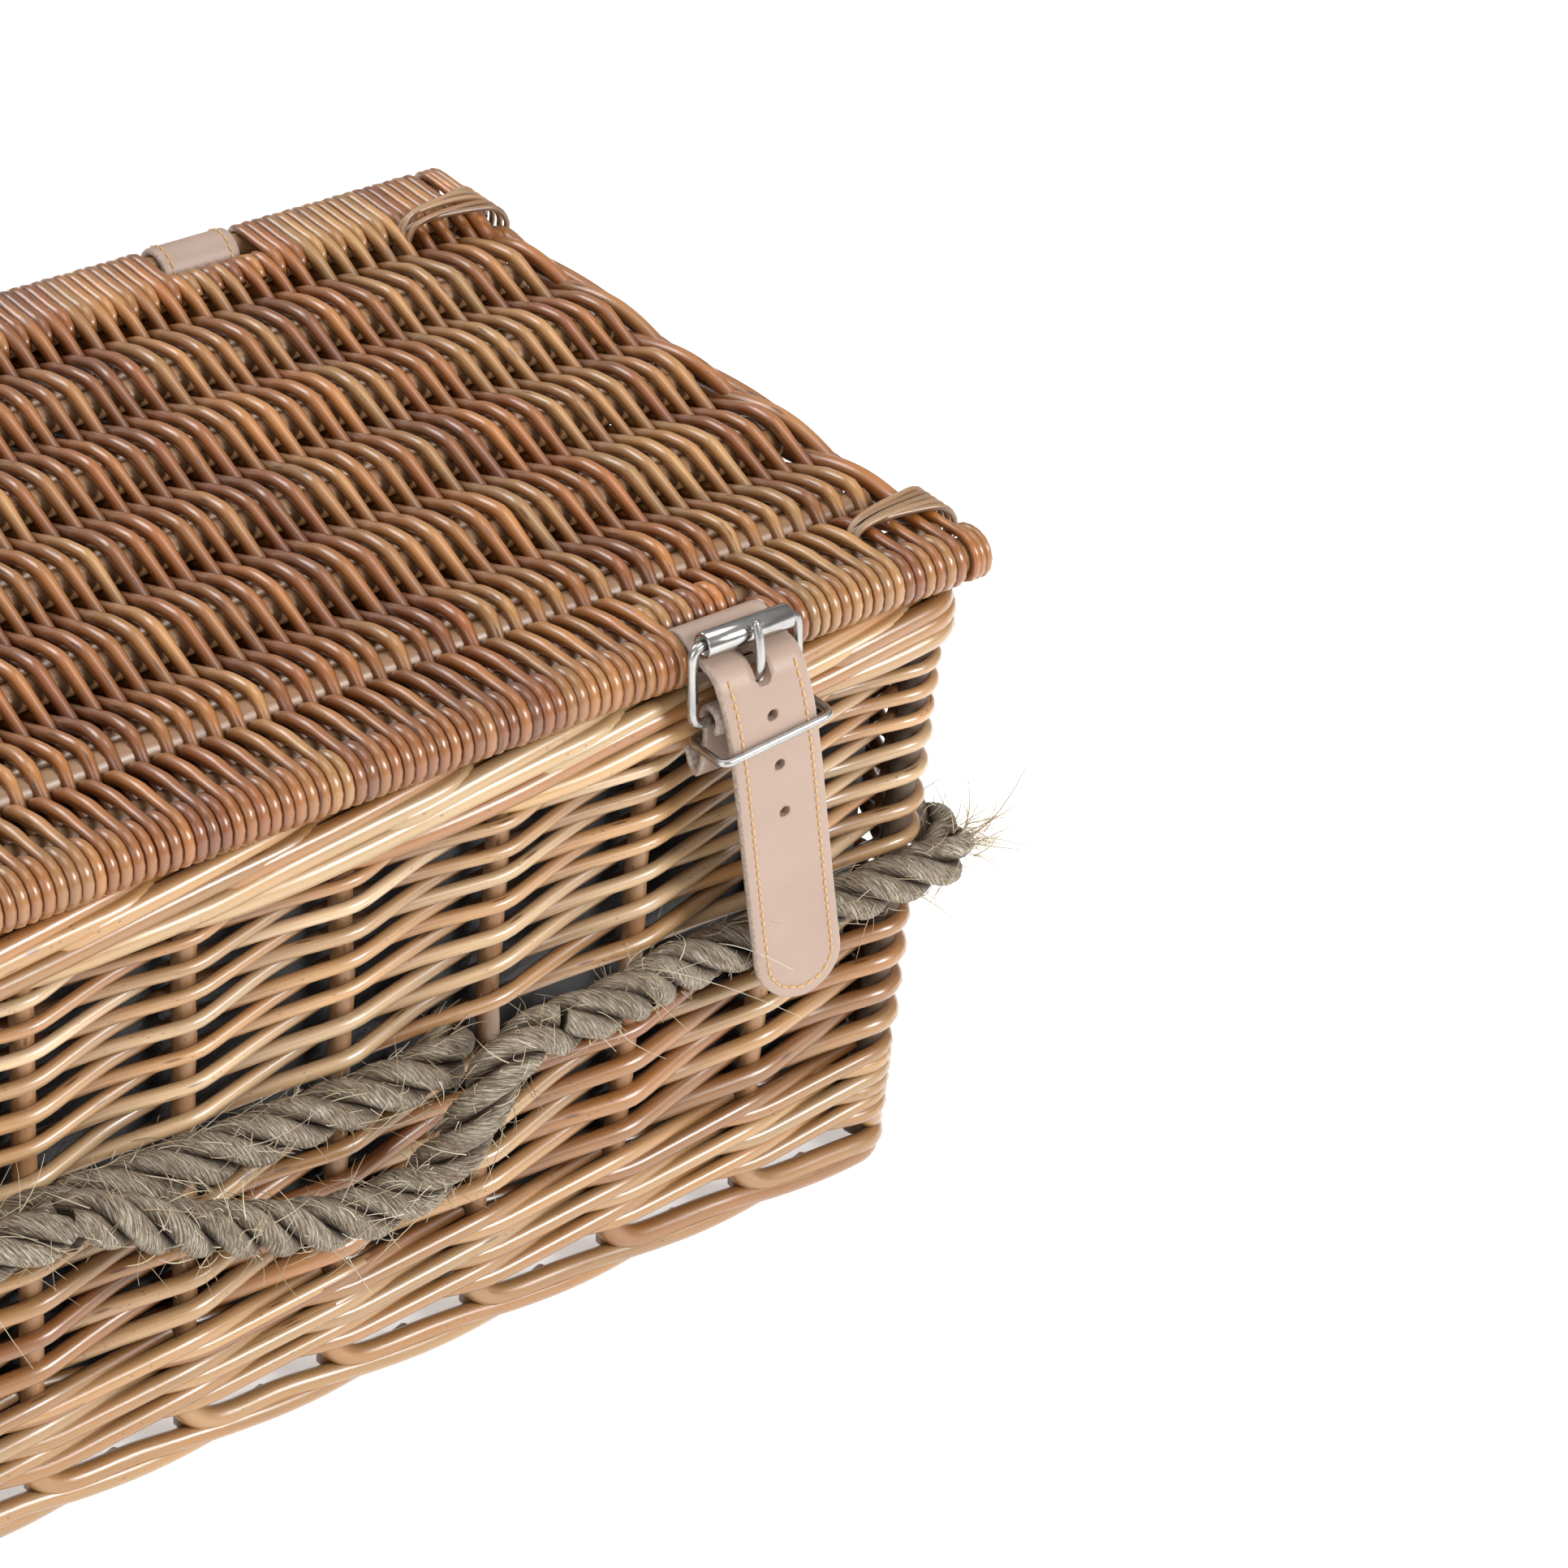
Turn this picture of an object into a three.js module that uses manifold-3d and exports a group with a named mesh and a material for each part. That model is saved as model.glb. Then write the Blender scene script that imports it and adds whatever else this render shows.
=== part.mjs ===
// Lidded willow hamper: randed walls on stakes, a stick-framed lid on leather hinge loops,
// two strap-and-roller-buckle closures, and a rope laid round the body that forms one handle.
// Millimetres. X along the hamper, -Y is the front, +Z up, the foot stands on z = 0.
import * as THREE from 'three';
import { mergeVertices } from 'three/addons/utils/BufferGeometryUtils.js';
import Module from 'manifold-3d';

const wasm = await Module();
wasm.setup();

// Clearance between pieces that touch on the real hamper.
const GAP = 0.3;

// Body: outer wall faces at the rim, and how far each wall leans in towards the foot.
const BODY_HALF_X = 195;
const BODY_HALF_Y = 115;
const WALL = 10;
const RIM_Z = 168;
const LEAN = 6;
const LEAN_TOP_Z = 170;

// Heights of the bands of weave.
const FOOT_BAR_TOP = 6;
const FOOT_TOP = 15.3;
const LOWER_WEAVE_Z = [15.6, 85.7];
const UPPER_WEAVE_Z = [103.6, 152.5];
const BORDER_Z = [156, RIM_Z];
const BASE_Z = [18, 26];
const LINING_Z = [26.5, 152.5];
const LINING_THICKNESS = 1.5;

// Stakes and posts stand on the middle line of each wall.
const STAKE_R = 3.1;
const POST_R = 3.6;
const LONG_STAKES = [-147, -105, -63, -21, 21, 63, 105, 147];
const SHORT_STAKES = [-80, -40, 0, 40, 80];
const WALL_MID_X = BODY_HALF_X - WALL / 2;
const WALL_MID_Y = BODY_HALF_Y - WALL / 2;
const BASE_STICKS = [-70, 0, 70];
const BASE_STICK_R = 2.8;

// Lid: a woven slab with round front and back edges, threaded on fourteen sticks.
const LID_HALF_X = 200;
const LID_HALF_Y = 120;
const LID_Z = 178;
const LID_R = 7;
const EDGE_STICK_Y = LID_HALF_Y - LID_R;
const EDGE_STICK_R = 4.5;
const SECOND_STICK_Y = 100;
const SECOND_STICK_R = 3.6;
const PAIR_PITCH = 35.5;
const PAIR_COUNT = 5;
const THIN_STICK_R = 2.4;
const THICK_STICK_R = 3.8;
const PAIR_SPREAD = 9;
const LID_END_WIDTH = 6.7;
const STICK_END_X = 198;
const LID_END_INSET = 1;
const LID_END_HALF_THICKNESS = 6;
const NOTCH_WIDTH = 27;
const NOTCH_DEPTH = 15.2;

// Lashings: how far each reaches in from the lid's end, its thickness, and where the front and back ones lie.
const LASHING_REACH = 28;
const LASHING_THICKNESS = 1.8;
const LASHING_SPANS = [['front', -103, -91], ['back', 84, 100]];

// Leather and wire.
const LEATHER = 2.4;
const HINGE_X = 120.5;
const HINGE_WIDTH = 23;
const CLOSURE_X = 122;
const STRAP_WIDTH = 25;
const STRAP_SLANT = 0.2;
const STRAP_END_Z = 80;
const STRAP_HOLES_Z = [167.5, 153, 138.5];
const HOLE_R = 1.5;
const WIRE = 2.6;
const HEEL = [-123.5, 166];
const ROLLER = [-122, 186];
const ROLLER_R = 3.2;
const ROLLER_BORE_R = 2.15;
const FRAME_INNER_HALF = 14;
const KEEPER_Z = 160;
const KEEPER_WIRE = 2;
const KEEPER_INNER_HALF = 15;
const KEEPER_INNER_Y = [-133, -118.6];

// Rope.
const ROPE_R = 6.5;
const ROPE_SIDES = 10;
const GIRDLE_Z = 94.6;
const HANDLE_END_X = 66;
const HANDLE_AXIS = [-130, 101.5];

// How far a cutting tool reaches past the piece it cuts.
const PAST = 1;

const COLOURS = {
  willow: [0xb98a58, 0.55, 0],
  stick: [0xa67c4c, 0.6, 0],
  post: [0x5a4230, 0.7, 0],
  cane: [0xb8935f, 0.5, 0],
  lining: [0x3f4044, 0.5, 0],
  leather: [0xd9b9a3, 0.6, 0],
  steel: [0xc8c8c8, 0.25, 1],
  rope: [0x8f8264, 0.9, 0],
};

const model = new THREE.Group();

function add(name, geometry, slot) {
  const [color, roughness, metalness] = COLOURS[slot];
  const mesh = new THREE.Mesh(geometry, new THREE.MeshStandardMaterial({ color, roughness, metalness }));
  mesh.name = name;
  model.add(mesh);
}

// --- solids -------------------------------------------------------------------------------

function toSolid(geometry) {
  const plain = geometry.clone();
  plain.deleteAttribute('normal');
  plain.deleteAttribute('uv');
  const merged = mergeVertices(plain, 1e-4);
  const triVerts = new Uint32Array(merged.index.array);
  const vertProperties = new Float32Array(merged.attributes.position.array);
  return new wasm.Manifold(new wasm.Mesh({ numProp: 3, vertProperties, triVerts }));
}

function toGeometry(solid) {
  const mesh = solid.getMesh();
  const geometry = new THREE.BufferGeometry();
  geometry.setAttribute('position', new THREE.BufferAttribute(new Float32Array(mesh.vertProperties), 3));
  geometry.setIndex(new THREE.BufferAttribute(new Uint32Array(mesh.triVerts), 1));
  return geometry;
}

function cut(geometry, tools) {
  const solid = tools.reduce((rest, tool) => rest.subtract(toSolid(tool)), toSolid(geometry));
  return toGeometry(solid);
}

function join(geometries) {
  const solids = geometries.map(toSolid);
  return toGeometry(solids.reduce((all, solid) => all.add(solid)));
}

function common(first, second) {
  return toGeometry(toSolid(first).intersect(toSolid(second)));
}

function block(x0, x1, y0, y1, z0, z1) {
  const box = new THREE.BoxGeometry(x1 - x0, y1 - y0, z1 - z0);
  return box.translate((x0 + x1) / 2, (y0 + y1) / 2, (z0 + z1) / 2);
}

function barX(radius, x0, x1, y, z, sides = 10) {
  const bar = new THREE.CylinderGeometry(radius, radius, x1 - x0, sides);
  return bar.rotateZ(Math.PI / 2).translate((x0 + x1) / 2, y, z);
}

function barY(radius, y0, y1, x, z, sides = 10) {
  return new THREE.CylinderGeometry(radius, radius, y1 - y0, sides).translate(x, (y0 + y1) / 2, z);
}

function barZ(radius, x, y, z0, z1, sides = 8) {
  const bar = new THREE.CylinderGeometry(radius, radius, z1 - z0, sides);
  return bar.rotateX(Math.PI / 2).translate(x, y, (z0 + z1) / 2);
}

// Extrudes an outline drawn in (y, z) along X, centred on x.
function alongX(shape, x, width, curveSegments = 12) {
  const solid = new THREE.ExtrudeGeometry(shape, { depth: width, bevelEnabled: false, curveSegments });
  const turn = new THREE.Matrix4().makeBasis(
    new THREE.Vector3(0, 1, 0),
    new THREE.Vector3(0, 0, 1),
    new THREE.Vector3(1, 0, 0),
  );
  return solid.applyMatrix4(turn).translate(x - width / 2, 0, 0);
}

// Extrudes an outline drawn in (x, z) along Y, from y0 to y1.
function alongY(shape, y0, y1, curveSegments = 8) {
  const solid = new THREE.ExtrudeGeometry(shape, { depth: y1 - y0, bevelEnabled: false, curveSegments });
  return solid.rotateX(Math.PI / 2).translate(0, y1, 0);
}

function outline(points) {
  return new THREE.Shape(points.map(([u, v]) => new THREE.Vector2(u, v)));
}

// A strip of constant thickness whose middle line follows a smooth curve through the points.
function strip(points, thickness, steps) {
  const curve = new THREE.SplineCurve(points.map(([u, v]) => new THREE.Vector2(u, v)));
  const left = [];
  const right = [];
  for (let i = 0; i <= steps; i += 1) {
    const p = curve.getPoint(i / steps);
    const t = curve.getTangent(i / steps);
    left.push([p.x - (t.y * thickness) / 2, p.y + (t.x * thickness) / 2]);
    right.unshift([p.x + (t.y * thickness) / 2, p.y - (t.x * thickness) / 2]);
  }
  return outline([...left, ...right]);
}

function ring(u, v, inner, outer) {
  const shape = new THREE.Shape();
  shape.absarc(u, v, outer, 0, 2 * Math.PI);
  const hole = new THREE.Path();
  hole.absarc(u, v, inner, 0, 2 * Math.PI);
  shape.holes.push(hole);
  return shape;
}

function rectangle(u0, u1, v0, v1) {
  return outline([[u0, v0], [u1, v0], [u1, v1], [u0, v1]]);
}

// A smooth curve whose cross-sections stand exactly at its points, close together where it bends.
class RopeLine extends THREE.CatmullRomCurve3 {
  getUtoTmapping(u) {
    return u;
  }
}

function rope(points) {
  const line = new RopeLine(points.map((p) => new THREE.Vector3(...p)), false, 'centripetal');
  const section = new THREE.Shape();
  section.absarc(0, 0, ROPE_R, 0, 2 * Math.PI);
  const steps = points.length - 1;
  return new THREE.ExtrudeGeometry(section, { extrudePath: line, steps, curveSegments: ROPE_SIDES / 2 });
}

// Draws the walls in towards the foot: every plan coordinate shrinks with depth below the rim.
function lean(geometry) {
  const p = geometry.attributes.position;
  for (let i = 0; i < p.count; i += 1) {
    const inward = LEAN * Math.max(0, 1 - p.getZ(i) / LEAN_TOP_Z);
    p.setX(i, p.getX(i) * (1 - inward / BODY_HALF_X));
    p.setY(i, p.getY(i) * (1 - inward / BODY_HALF_Y));
  }
  return geometry;
}

// --- body ---------------------------------------------------------------------------------

const LONG_WALLS = [['front', -1], ['back', 1]];
const SHORT_WALLS = [['left', -1], ['right', 1]];
const SHORT_HALF_Y = BODY_HALF_Y - WALL - GAP;

function longSlab(side, z0, z1) {
  const inner = side * (BODY_HALF_Y - WALL);
  const outer = side * BODY_HALF_Y;
  return block(-BODY_HALF_X, BODY_HALF_X, Math.min(inner, outer), Math.max(inner, outer), z0, z1);
}

function shortSlab(side, z0, z1) {
  const inner = side * (BODY_HALF_X - WALL);
  const outer = side * BODY_HALF_X;
  return block(Math.min(inner, outer), Math.max(inner, outer), -SHORT_HALF_Y, SHORT_HALF_Y, z0, z1);
}

function longStakes(side, radius, z0, z1) {
  return LONG_STAKES.map((x) => barZ(radius, x, side * WALL_MID_Y, z0, z1));
}

function shortStakes(side, radius, z0, z1) {
  return SHORT_STAKES.map((y) => barZ(radius, side * WALL_MID_X, y, z0, z1));
}

function cornerHoles(side, z0, z1) {
  return [-1, 1].map((end) => barZ(POST_R + GAP, end * WALL_MID_X, side * WALL_MID_Y, z0, z1));
}

function weaveBand(name, [z0, z1]) {
  for (const [where, side] of LONG_WALLS) {
    const holes = longStakes(side, STAKE_R + GAP, z0 - PAST, z1 + PAST);
    const corners = cornerHoles(side, z0 - PAST, z1 + PAST);
    add(`${name}_${where}`, lean(cut(longSlab(side, z0, z1), [...holes, ...corners])), 'willow');
  }
  for (const [where, side] of SHORT_WALLS) {
    const holes = shortStakes(side, STAKE_R + GAP, z0 - PAST, z1 + PAST);
    add(`${name}_${where}`, lean(cut(shortSlab(side, z0, z1), holes)), 'willow');
  }
}

// The stakes are bent over at the top and plaited into the border, so each side is one piece.
function stakesAndBorder() {
  const [z0, z1] = BORDER_Z;
  const foot = LOWER_WEAVE_Z[0] + GAP;
  for (const [where, side] of LONG_WALLS) {
    const stakes = longStakes(side, STAKE_R, foot, z0 + PAST);
    add(`border_and_stakes_${where}`, lean(join([longSlab(side, z0, z1), ...stakes])), 'willow');
  }
  for (const [where, side] of SHORT_WALLS) {
    const stakes = shortStakes(side, STAKE_R, foot, z0 + PAST);
    add(`border_and_stakes_${where}`, lean(join([shortSlab(side, z0, z1), ...stakes])), 'willow');
  }
}

function cornerPosts() {
  for (const [front, sideY] of LONG_WALLS) {
    for (const [end, sideX] of SHORT_WALLS) {
      const post = barZ(POST_R, sideX * WALL_MID_X, sideY * WALL_MID_Y, LOWER_WEAVE_Z[0] + GAP, BORDER_Z[0] - GAP);
      add(`corner_post_${front}_${end}`, lean(post), 'post');
    }
  }
}

// The foot is a border of its own: a low rail carried on one short leg below each stake.
function footBorder() {
  const rail = cut(block(-BODY_HALF_X, BODY_HALF_X, -BODY_HALF_Y, BODY_HALF_Y, 0, FOOT_BAR_TOP), [
    block(-BODY_HALF_X + WALL, BODY_HALF_X - WALL, -BODY_HALF_Y + WALL, BODY_HALF_Y - WALL, -PAST, FOOT_TOP),
  ]);
  const legs = [];
  for (const side of [-1, 1]) {
    legs.push(...longStakes(side, STAKE_R, FOOT_BAR_TOP - PAST, FOOT_TOP));
    legs.push(...shortStakes(side, STAKE_R, FOOT_BAR_TOP - PAST, FOOT_TOP));
    for (const end of [-1, 1]) {
      legs.push(barZ(POST_R, end * WALL_MID_X, side * WALL_MID_Y, FOOT_BAR_TOP - PAST, FOOT_TOP));
    }
  }
  add('foot_border', lean(join([rail, ...legs])), 'willow');
}

function base() {
  const halfX = BODY_HALF_X - WALL - 2 * GAP;
  const halfY = BODY_HALF_Y - WALL - 2 * GAP;
  const middle = (BASE_Z[0] + BASE_Z[1]) / 2;
  const holes = BASE_STICKS.map((y) => barX(BASE_STICK_R + GAP, -halfX - PAST, halfX + PAST, y, middle));
  add('base_weave', lean(cut(block(-halfX, halfX, -halfY, halfY, BASE_Z[0], BASE_Z[1]), holes)), 'willow');
  BASE_STICKS.forEach((y, i) => {
    add(`base_stick_${i + 1}`, lean(barX(BASE_STICK_R, -halfX, halfX, y, middle)), 'stick');
  });
}

function lining() {
  const halfX = BODY_HALF_X - WALL - 2 * GAP;
  const halfY = BODY_HALF_Y - WALL - 2 * GAP;
  const t = LINING_THICKNESS;
  const [z0, z1] = LINING_Z;
  const hollow = block(-halfX + t, halfX - t, -halfY + t, halfY - t, z0 + t, z1 + PAST);
  add('lining', lean(cut(block(-halfX, halfX, -halfY, halfY, z0, z1), [hollow])), 'lining');
}

// --- lid ----------------------------------------------------------------------------------

function lidSticks() {
  const sticks = [
    ['front_edge_stick', -EDGE_STICK_Y, EDGE_STICK_R],
    ['front_second_stick', -SECOND_STICK_Y, SECOND_STICK_R],
    ['back_second_stick', SECOND_STICK_Y, SECOND_STICK_R],
    ['back_edge_stick', EDGE_STICK_Y, EDGE_STICK_R],
  ];
  for (let i = 0; i < PAIR_COUNT; i += 1) {
    const thin = (i - (PAIR_COUNT - 1) / 2) * PAIR_PITCH;
    sticks.push([`lid_thin_stick_${i + 1}`, thin, THIN_STICK_R]);
    sticks.push([`lid_thick_stick_${i + 1}`, thin - PAIR_SPREAD, THICK_STICK_R]);
  }
  return sticks;
}

function notch(x, side) {
  const inner = side * (LID_HALF_Y - NOTCH_DEPTH);
  const outer = side * (LID_HALF_Y + PAST);
  const half = NOTCH_WIDTH / 2;
  const reach = LID_R + PAST;
  return block(x - half, x + half, Math.min(inner, outer), Math.max(inner, outer), LID_Z - reach, LID_Z + reach);
}

function lid() {
  const sticks = lidSticks();
  const section = new THREE.Shape();
  section.absarc(EDGE_STICK_Y, LID_Z, LID_R, -Math.PI / 2, Math.PI / 2);
  section.absarc(-EDGE_STICK_Y, LID_Z, LID_R, Math.PI / 2, (3 * Math.PI) / 2);
  const endY = LID_HALF_Y - LID_END_INSET;
  const endSection = rectangle(-endY, endY, LID_Z - LID_END_HALF_THICKNESS, LID_Z + LID_END_HALF_THICKNESS);
  for (const [, y, radius] of sticks) {
    const hole = new THREE.Path();
    hole.absarc(y, LID_Z, radius + GAP, 0, 2 * Math.PI);
    section.holes.push(hole);
    endSection.holes.push(hole);
  }
  const weaveHalf = LID_HALF_X - LID_END_WIDTH - GAP;
  const notches = [-1, 1].flatMap((end) => [notch(end * CLOSURE_X, -1), notch(end * HINGE_X, 1)]);
  add('lid_weave', cut(alongX(section, 0, 2 * weaveHalf, 6), notches), 'willow');
  for (const [where, end] of SHORT_WALLS) {
    const x = end * (LID_HALF_X - LID_END_WIDTH / 2);
    add(`lid_end_${where}`, alongX(endSection, x, LID_END_WIDTH, 6), 'willow');
  }
  for (const [name, y, radius] of sticks) {
    add(name, barX(radius, -STICK_END_X, STICK_END_X, y, LID_Z), 'stick');
  }
}

// A split-cane lashing holds each corner of the lid: it clasps the top, the end and the underside.
function lashings() {
  const t = LASHING_THICKNESS;
  const inner = LID_R + GAP;
  for (const [end, side] of SHORT_WALLS) {
    const x0 = LID_HALF_X - LASHING_REACH;
    const x1 = LID_HALF_X + GAP;
    const clasp = outline([
      [x0, LID_Z - inner - t], [x1 + t, LID_Z - inner - t], [x1 + t, LID_Z + inner + t], [x0, LID_Z + inner + t],
      [x0, LID_Z + inner], [x1, LID_Z + inner], [x1, LID_Z - inner], [x0, LID_Z - inner],
    ]);
    for (const [where, y0, y1] of LASHING_SPANS) {
      const piece = alongY(clasp, y0, y1);
      if (side < 0) piece.rotateZ(Math.PI).translate(0, y0 + y1, 0);
      add(`lashing_${where}_${end}`, piece, 'cane');
    }
  }
}

// --- hinge loops --------------------------------------------------------------------------

const HINGE_SEAM = 0.2;

// One leather band goes round the lid's back stick and round the rim border below it.
function hingeLoops() {
  const outerR = EDGE_STICK_R + GAP + LEATHER;
  const face = BODY_HALF_Y + GAP + LEATHER;
  const back = BODY_HALF_Y - WALL - GAP - LEATHER;
  const top = RIM_Z + GAP + LEATHER - HINGE_SEAM;
  const bottom = BORDER_Z[0] - GAP - LEATHER;
  const loop = join([
    alongX(ring(EDGE_STICK_Y, LID_Z, EDGE_STICK_R + GAP, outerR), 0, HINGE_WIDTH),
    cut(alongX(rectangle(back, face, bottom, top), 0, HINGE_WIDTH), [
      block(-HINGE_WIDTH, HINGE_WIDTH, back + LEATHER, face - LEATHER, BORDER_Z[0] - GAP, RIM_Z + GAP),
    ]),
    cut(block(-HINGE_WIDTH / 2, HINGE_WIDTH / 2, EDGE_STICK_Y - 2 * PAST, face, RIM_Z + GAP, LID_Z), [
      barX(EDGE_STICK_R + GAP, -HINGE_WIDTH, HINGE_WIDTH, EDGE_STICK_Y, LID_Z),
    ]),
  ]);
  for (const [where, end] of SHORT_WALLS) {
    add(`hinge_loop_${where}`, lean(loop.clone().translate(end * HINGE_X, 0, 0)), 'leather');
  }
}

// --- closures -----------------------------------------------------------------------------

// The strap is looped round the lid's front stick, comes out under the roller and hangs down.
const STRAP_LINE = [
  [-117.6, 179.2], [-121.8, 180.6], [-125.4, 180.1], [-128.6, 177], [-130, 172],
  [-130.6, 165], [-130.4, 150], [-129.2, 130], [-127.8, 105], [-127, STRAP_END_Z],
];
const PRONG_LINE = [
  [-125.4, 168.4], [-126.2, 174], [-128.2, 180.2], [-127.3, 186.4], [-125.6, 190.6],
];
const PRONG_SLOT = { y: [-131, -123.4], z: [173.2, 183] };
const CHAPE_LINE = [
  [-121.4, 163.2], [-121.6, 155], [-119.6, 149.4], [-116.9, 150.6], [-115.6, 153.4], [-112.5, 154.3], [-104.9, 154.3],
];
const PRONG_WIDTH = 3;
const PRONG_THICKNESS = 1.8;
const PRONG_EYE_R = [2.2, 3.6];
const CHAPE_WIDTH = 22;
const CHAPE_THICKNESS = 2;
const CHAPE_LOOP_R = [2.2, 4];
const STRAP_SPAN_Y = [-140, -100];
const HOLE_SPAN_Y = [-140, -120];
const CHAPE_WINDOW_Y = [-131, -118];
const SLANT_TOP_Z = 176;
const STRAP_HEADROOM = 10;
const KEEPER_SHIFT = 3;

// Pushes the hanging part sideways as it drops.
function slant(geometry, slope) {
  const p = geometry.attributes.position;
  for (let i = 0; i < p.count; i += 1) {
    p.setX(i, p.getX(i) + slope * Math.max(0, SLANT_TOP_Z - p.getZ(i)));
  }
  return geometry;
}

function strap(slope) {
  const half = STRAP_WIDTH / 2;
  const sides = new THREE.Shape();
  sides.absarc(0, STRAP_END_Z + half, half, Math.PI, 2 * Math.PI);
  sides.lineTo(half, LID_Z + STRAP_HEADROOM);
  sides.lineTo(-half, LID_Z + STRAP_HEADROOM);
  const body = join([
    alongX(ring(-EDGE_STICK_Y, LID_Z, EDGE_STICK_R + GAP, EDGE_STICK_R + GAP + LEATHER), 0, STRAP_WIDTH),
    alongX(strip(STRAP_LINE, LEATHER, 20), 0, STRAP_WIDTH),
  ]);
  const stick = barX(EDGE_STICK_R + GAP, -STRAP_WIDTH, STRAP_WIDTH, -EDGE_STICK_Y, LID_Z, 24);
  const rounded = common(cut(body, [stick]), alongY(sides, ...STRAP_SPAN_Y));
  const slot = block(-PRONG_WIDTH / 2 - GAP, PRONG_WIDTH / 2 + GAP, ...PRONG_SLOT.y, ...PRONG_SLOT.z);
  const holes = STRAP_HOLES_Z.map((height) => barY(HOLE_R, ...HOLE_SPAN_Y, 0, height, 8));
  return slant(cut(rounded, [slot, ...holes]), slope);
}

// Flat wire rectangle between the heel bar and the roller bar, standing in the plane of the two.
function buckleFrame() {
  const span = ROLLER[1] - HEEL[1];
  const w = WIRE / 2;
  const half = FRAME_INNER_HALF;
  const shape = rectangle(-half - WIRE, half + WIRE, -w, span + w);
  shape.holes.push(rectangle(-half, half, w, span - w));
  const frame = alongY(shape, -w, w);
  const tilt = Math.atan2(ROLLER[0] - HEEL[0], span);
  return frame.rotateX(-tilt).translate(0, HEEL[0], HEEL[1]);
}

function roller() {
  const half = FRAME_INNER_HALF - GAP;
  const profile = [
    [ROLLER_BORE_R, -half], [ROLLER_R, -half], [ROLLER_R, half], [ROLLER_BORE_R, half], [ROLLER_BORE_R, -half],
  ];
  const tube = new THREE.LatheGeometry(profile.map(([r, h]) => new THREE.Vector2(r, h)), 16);
  return tube.rotateZ(Math.PI / 2).translate(0, ROLLER[0], ROLLER[1]);
}

// The prong's eye is a hook open at the back, so that it clips over the heel bar.
function prong() {
  const [inner, outer] = PRONG_EYE_R;
  const [start, end] = [0.2 * Math.PI, 1.5 * Math.PI];
  const eye = new THREE.Shape();
  eye.absarc(HEEL[0], HEEL[1], outer, start, end);
  eye.absarc(HEEL[0], HEEL[1], inner, end, start, true);
  const shaft = alongX(strip(PRONG_LINE, PRONG_THICKNESS, 10), 0, PRONG_WIDTH);
  return join([alongX(eye, 0, PRONG_WIDTH, 10), shaft]);
}

function keeper() {
  const [front, back] = KEEPER_INNER_Y;
  const half = KEEPER_INNER_HALF;
  const w = KEEPER_WIRE;
  const shape = rectangle(-half - w, half + w, front - w, back + w);
  shape.holes.push(rectangle(-half, half, front, back));
  return new THREE.ExtrudeGeometry(shape, { depth: w, bevelEnabled: false }).translate(0, 0, KEEPER_Z);
}

// The chape folds round the heel bar, on both sides of the prong, and tucks in under the rim.
function chape() {
  const [inner, outer] = CHAPE_LOOP_R;
  const body = join([
    alongX(ring(HEEL[0], HEEL[1], inner, outer), 0, CHAPE_WIDTH, 8),
    alongX(strip(CHAPE_LINE, CHAPE_THICKNESS, 16), 0, CHAPE_WIDTH),
  ]);
  const windowZ = [HEEL[1] - outer - GAP, HEEL[1] + outer + PAST];
  const window = block(-PRONG_WIDTH / 2 - GAP, PRONG_WIDTH / 2 + GAP, ...CHAPE_WINDOW_Y, ...windowZ);
  const heelBar = barX(inner, -CHAPE_WIDTH, CHAPE_WIDTH, HEEL[0], HEEL[1], 16);
  return cut(body, [window, heelBar]);
}

function closures() {
  for (const [where, end] of SHORT_WALLS) {
    const x = end * CLOSURE_X;
    add(`strap_${where}`, strap(end * STRAP_SLANT).translate(x, 0, 0), 'leather');
    add(`buckle_chape_${where}`, chape().translate(x, 0, 0), 'leather');
    add(`buckle_frame_${where}`, buckleFrame().translate(x, 0, 0), 'steel');
    add(`buckle_roller_${where}`, roller().translate(x, 0, 0), 'steel');
    add(`buckle_prong_${where}`, prong().translate(x, 0, 0), 'steel');
    add(`keeper_ring_${where}`, keeper().translate(x + end * KEEPER_SHIFT, 0, 0), 'steel');
  }
}

// --- rope ---------------------------------------------------------------------------------

const CORNER_POST_AT = [187.4, 107.6];
const CORNER_BEND = 10.8;
const CORNER_STEPS = 4;

// The girdle lies in the open band outside the stakes. Its two front ends run on into the handle.
function girdlePoints() {
  const [cornerX, cornerY] = CORNER_POST_AT;
  const points = handleStub(1);
  const corners = [[1, -1, -0.5], [1, 1, 0], [-1, 1, 0.5], [-1, -1, 1]];
  for (const [sx, sy, turn] of corners) {
    for (let i = 0; i <= CORNER_STEPS; i += 1) {
      const a = Math.PI * (turn + i / CORNER_STEPS / 2);
      const x = sx * cornerX + CORNER_BEND * Math.cos(a);
      points.push([x, sy * cornerY + CORNER_BEND * Math.sin(a), GIRDLE_Z]);
    }
  }
  return [...points, ...handleStub(-1).reverse()];
}

// From the handle's end the rope bends back and down into the open band: [distance along, share of the bend left].
const STUB_BEND = [[0, 1], [6, 1], [14, 0.96], [22, 0.78], [30, 0.45], [38, 0.14], [46, 0.01], [54, 0]];

function handleStub(side) {
  const [endY, endZ] = HANDLE_AXIS;
  const straightY = -CORNER_POST_AT[1] - CORNER_BEND;
  const rise = endZ - GIRDLE_Z;
  return STUB_BEND.map(([along, part]) => [
    side * (HANDLE_END_X + along),
    straightY + (endY - straightY) * part,
    GIRDLE_Z + rise * part,
  ]);
}

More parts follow.
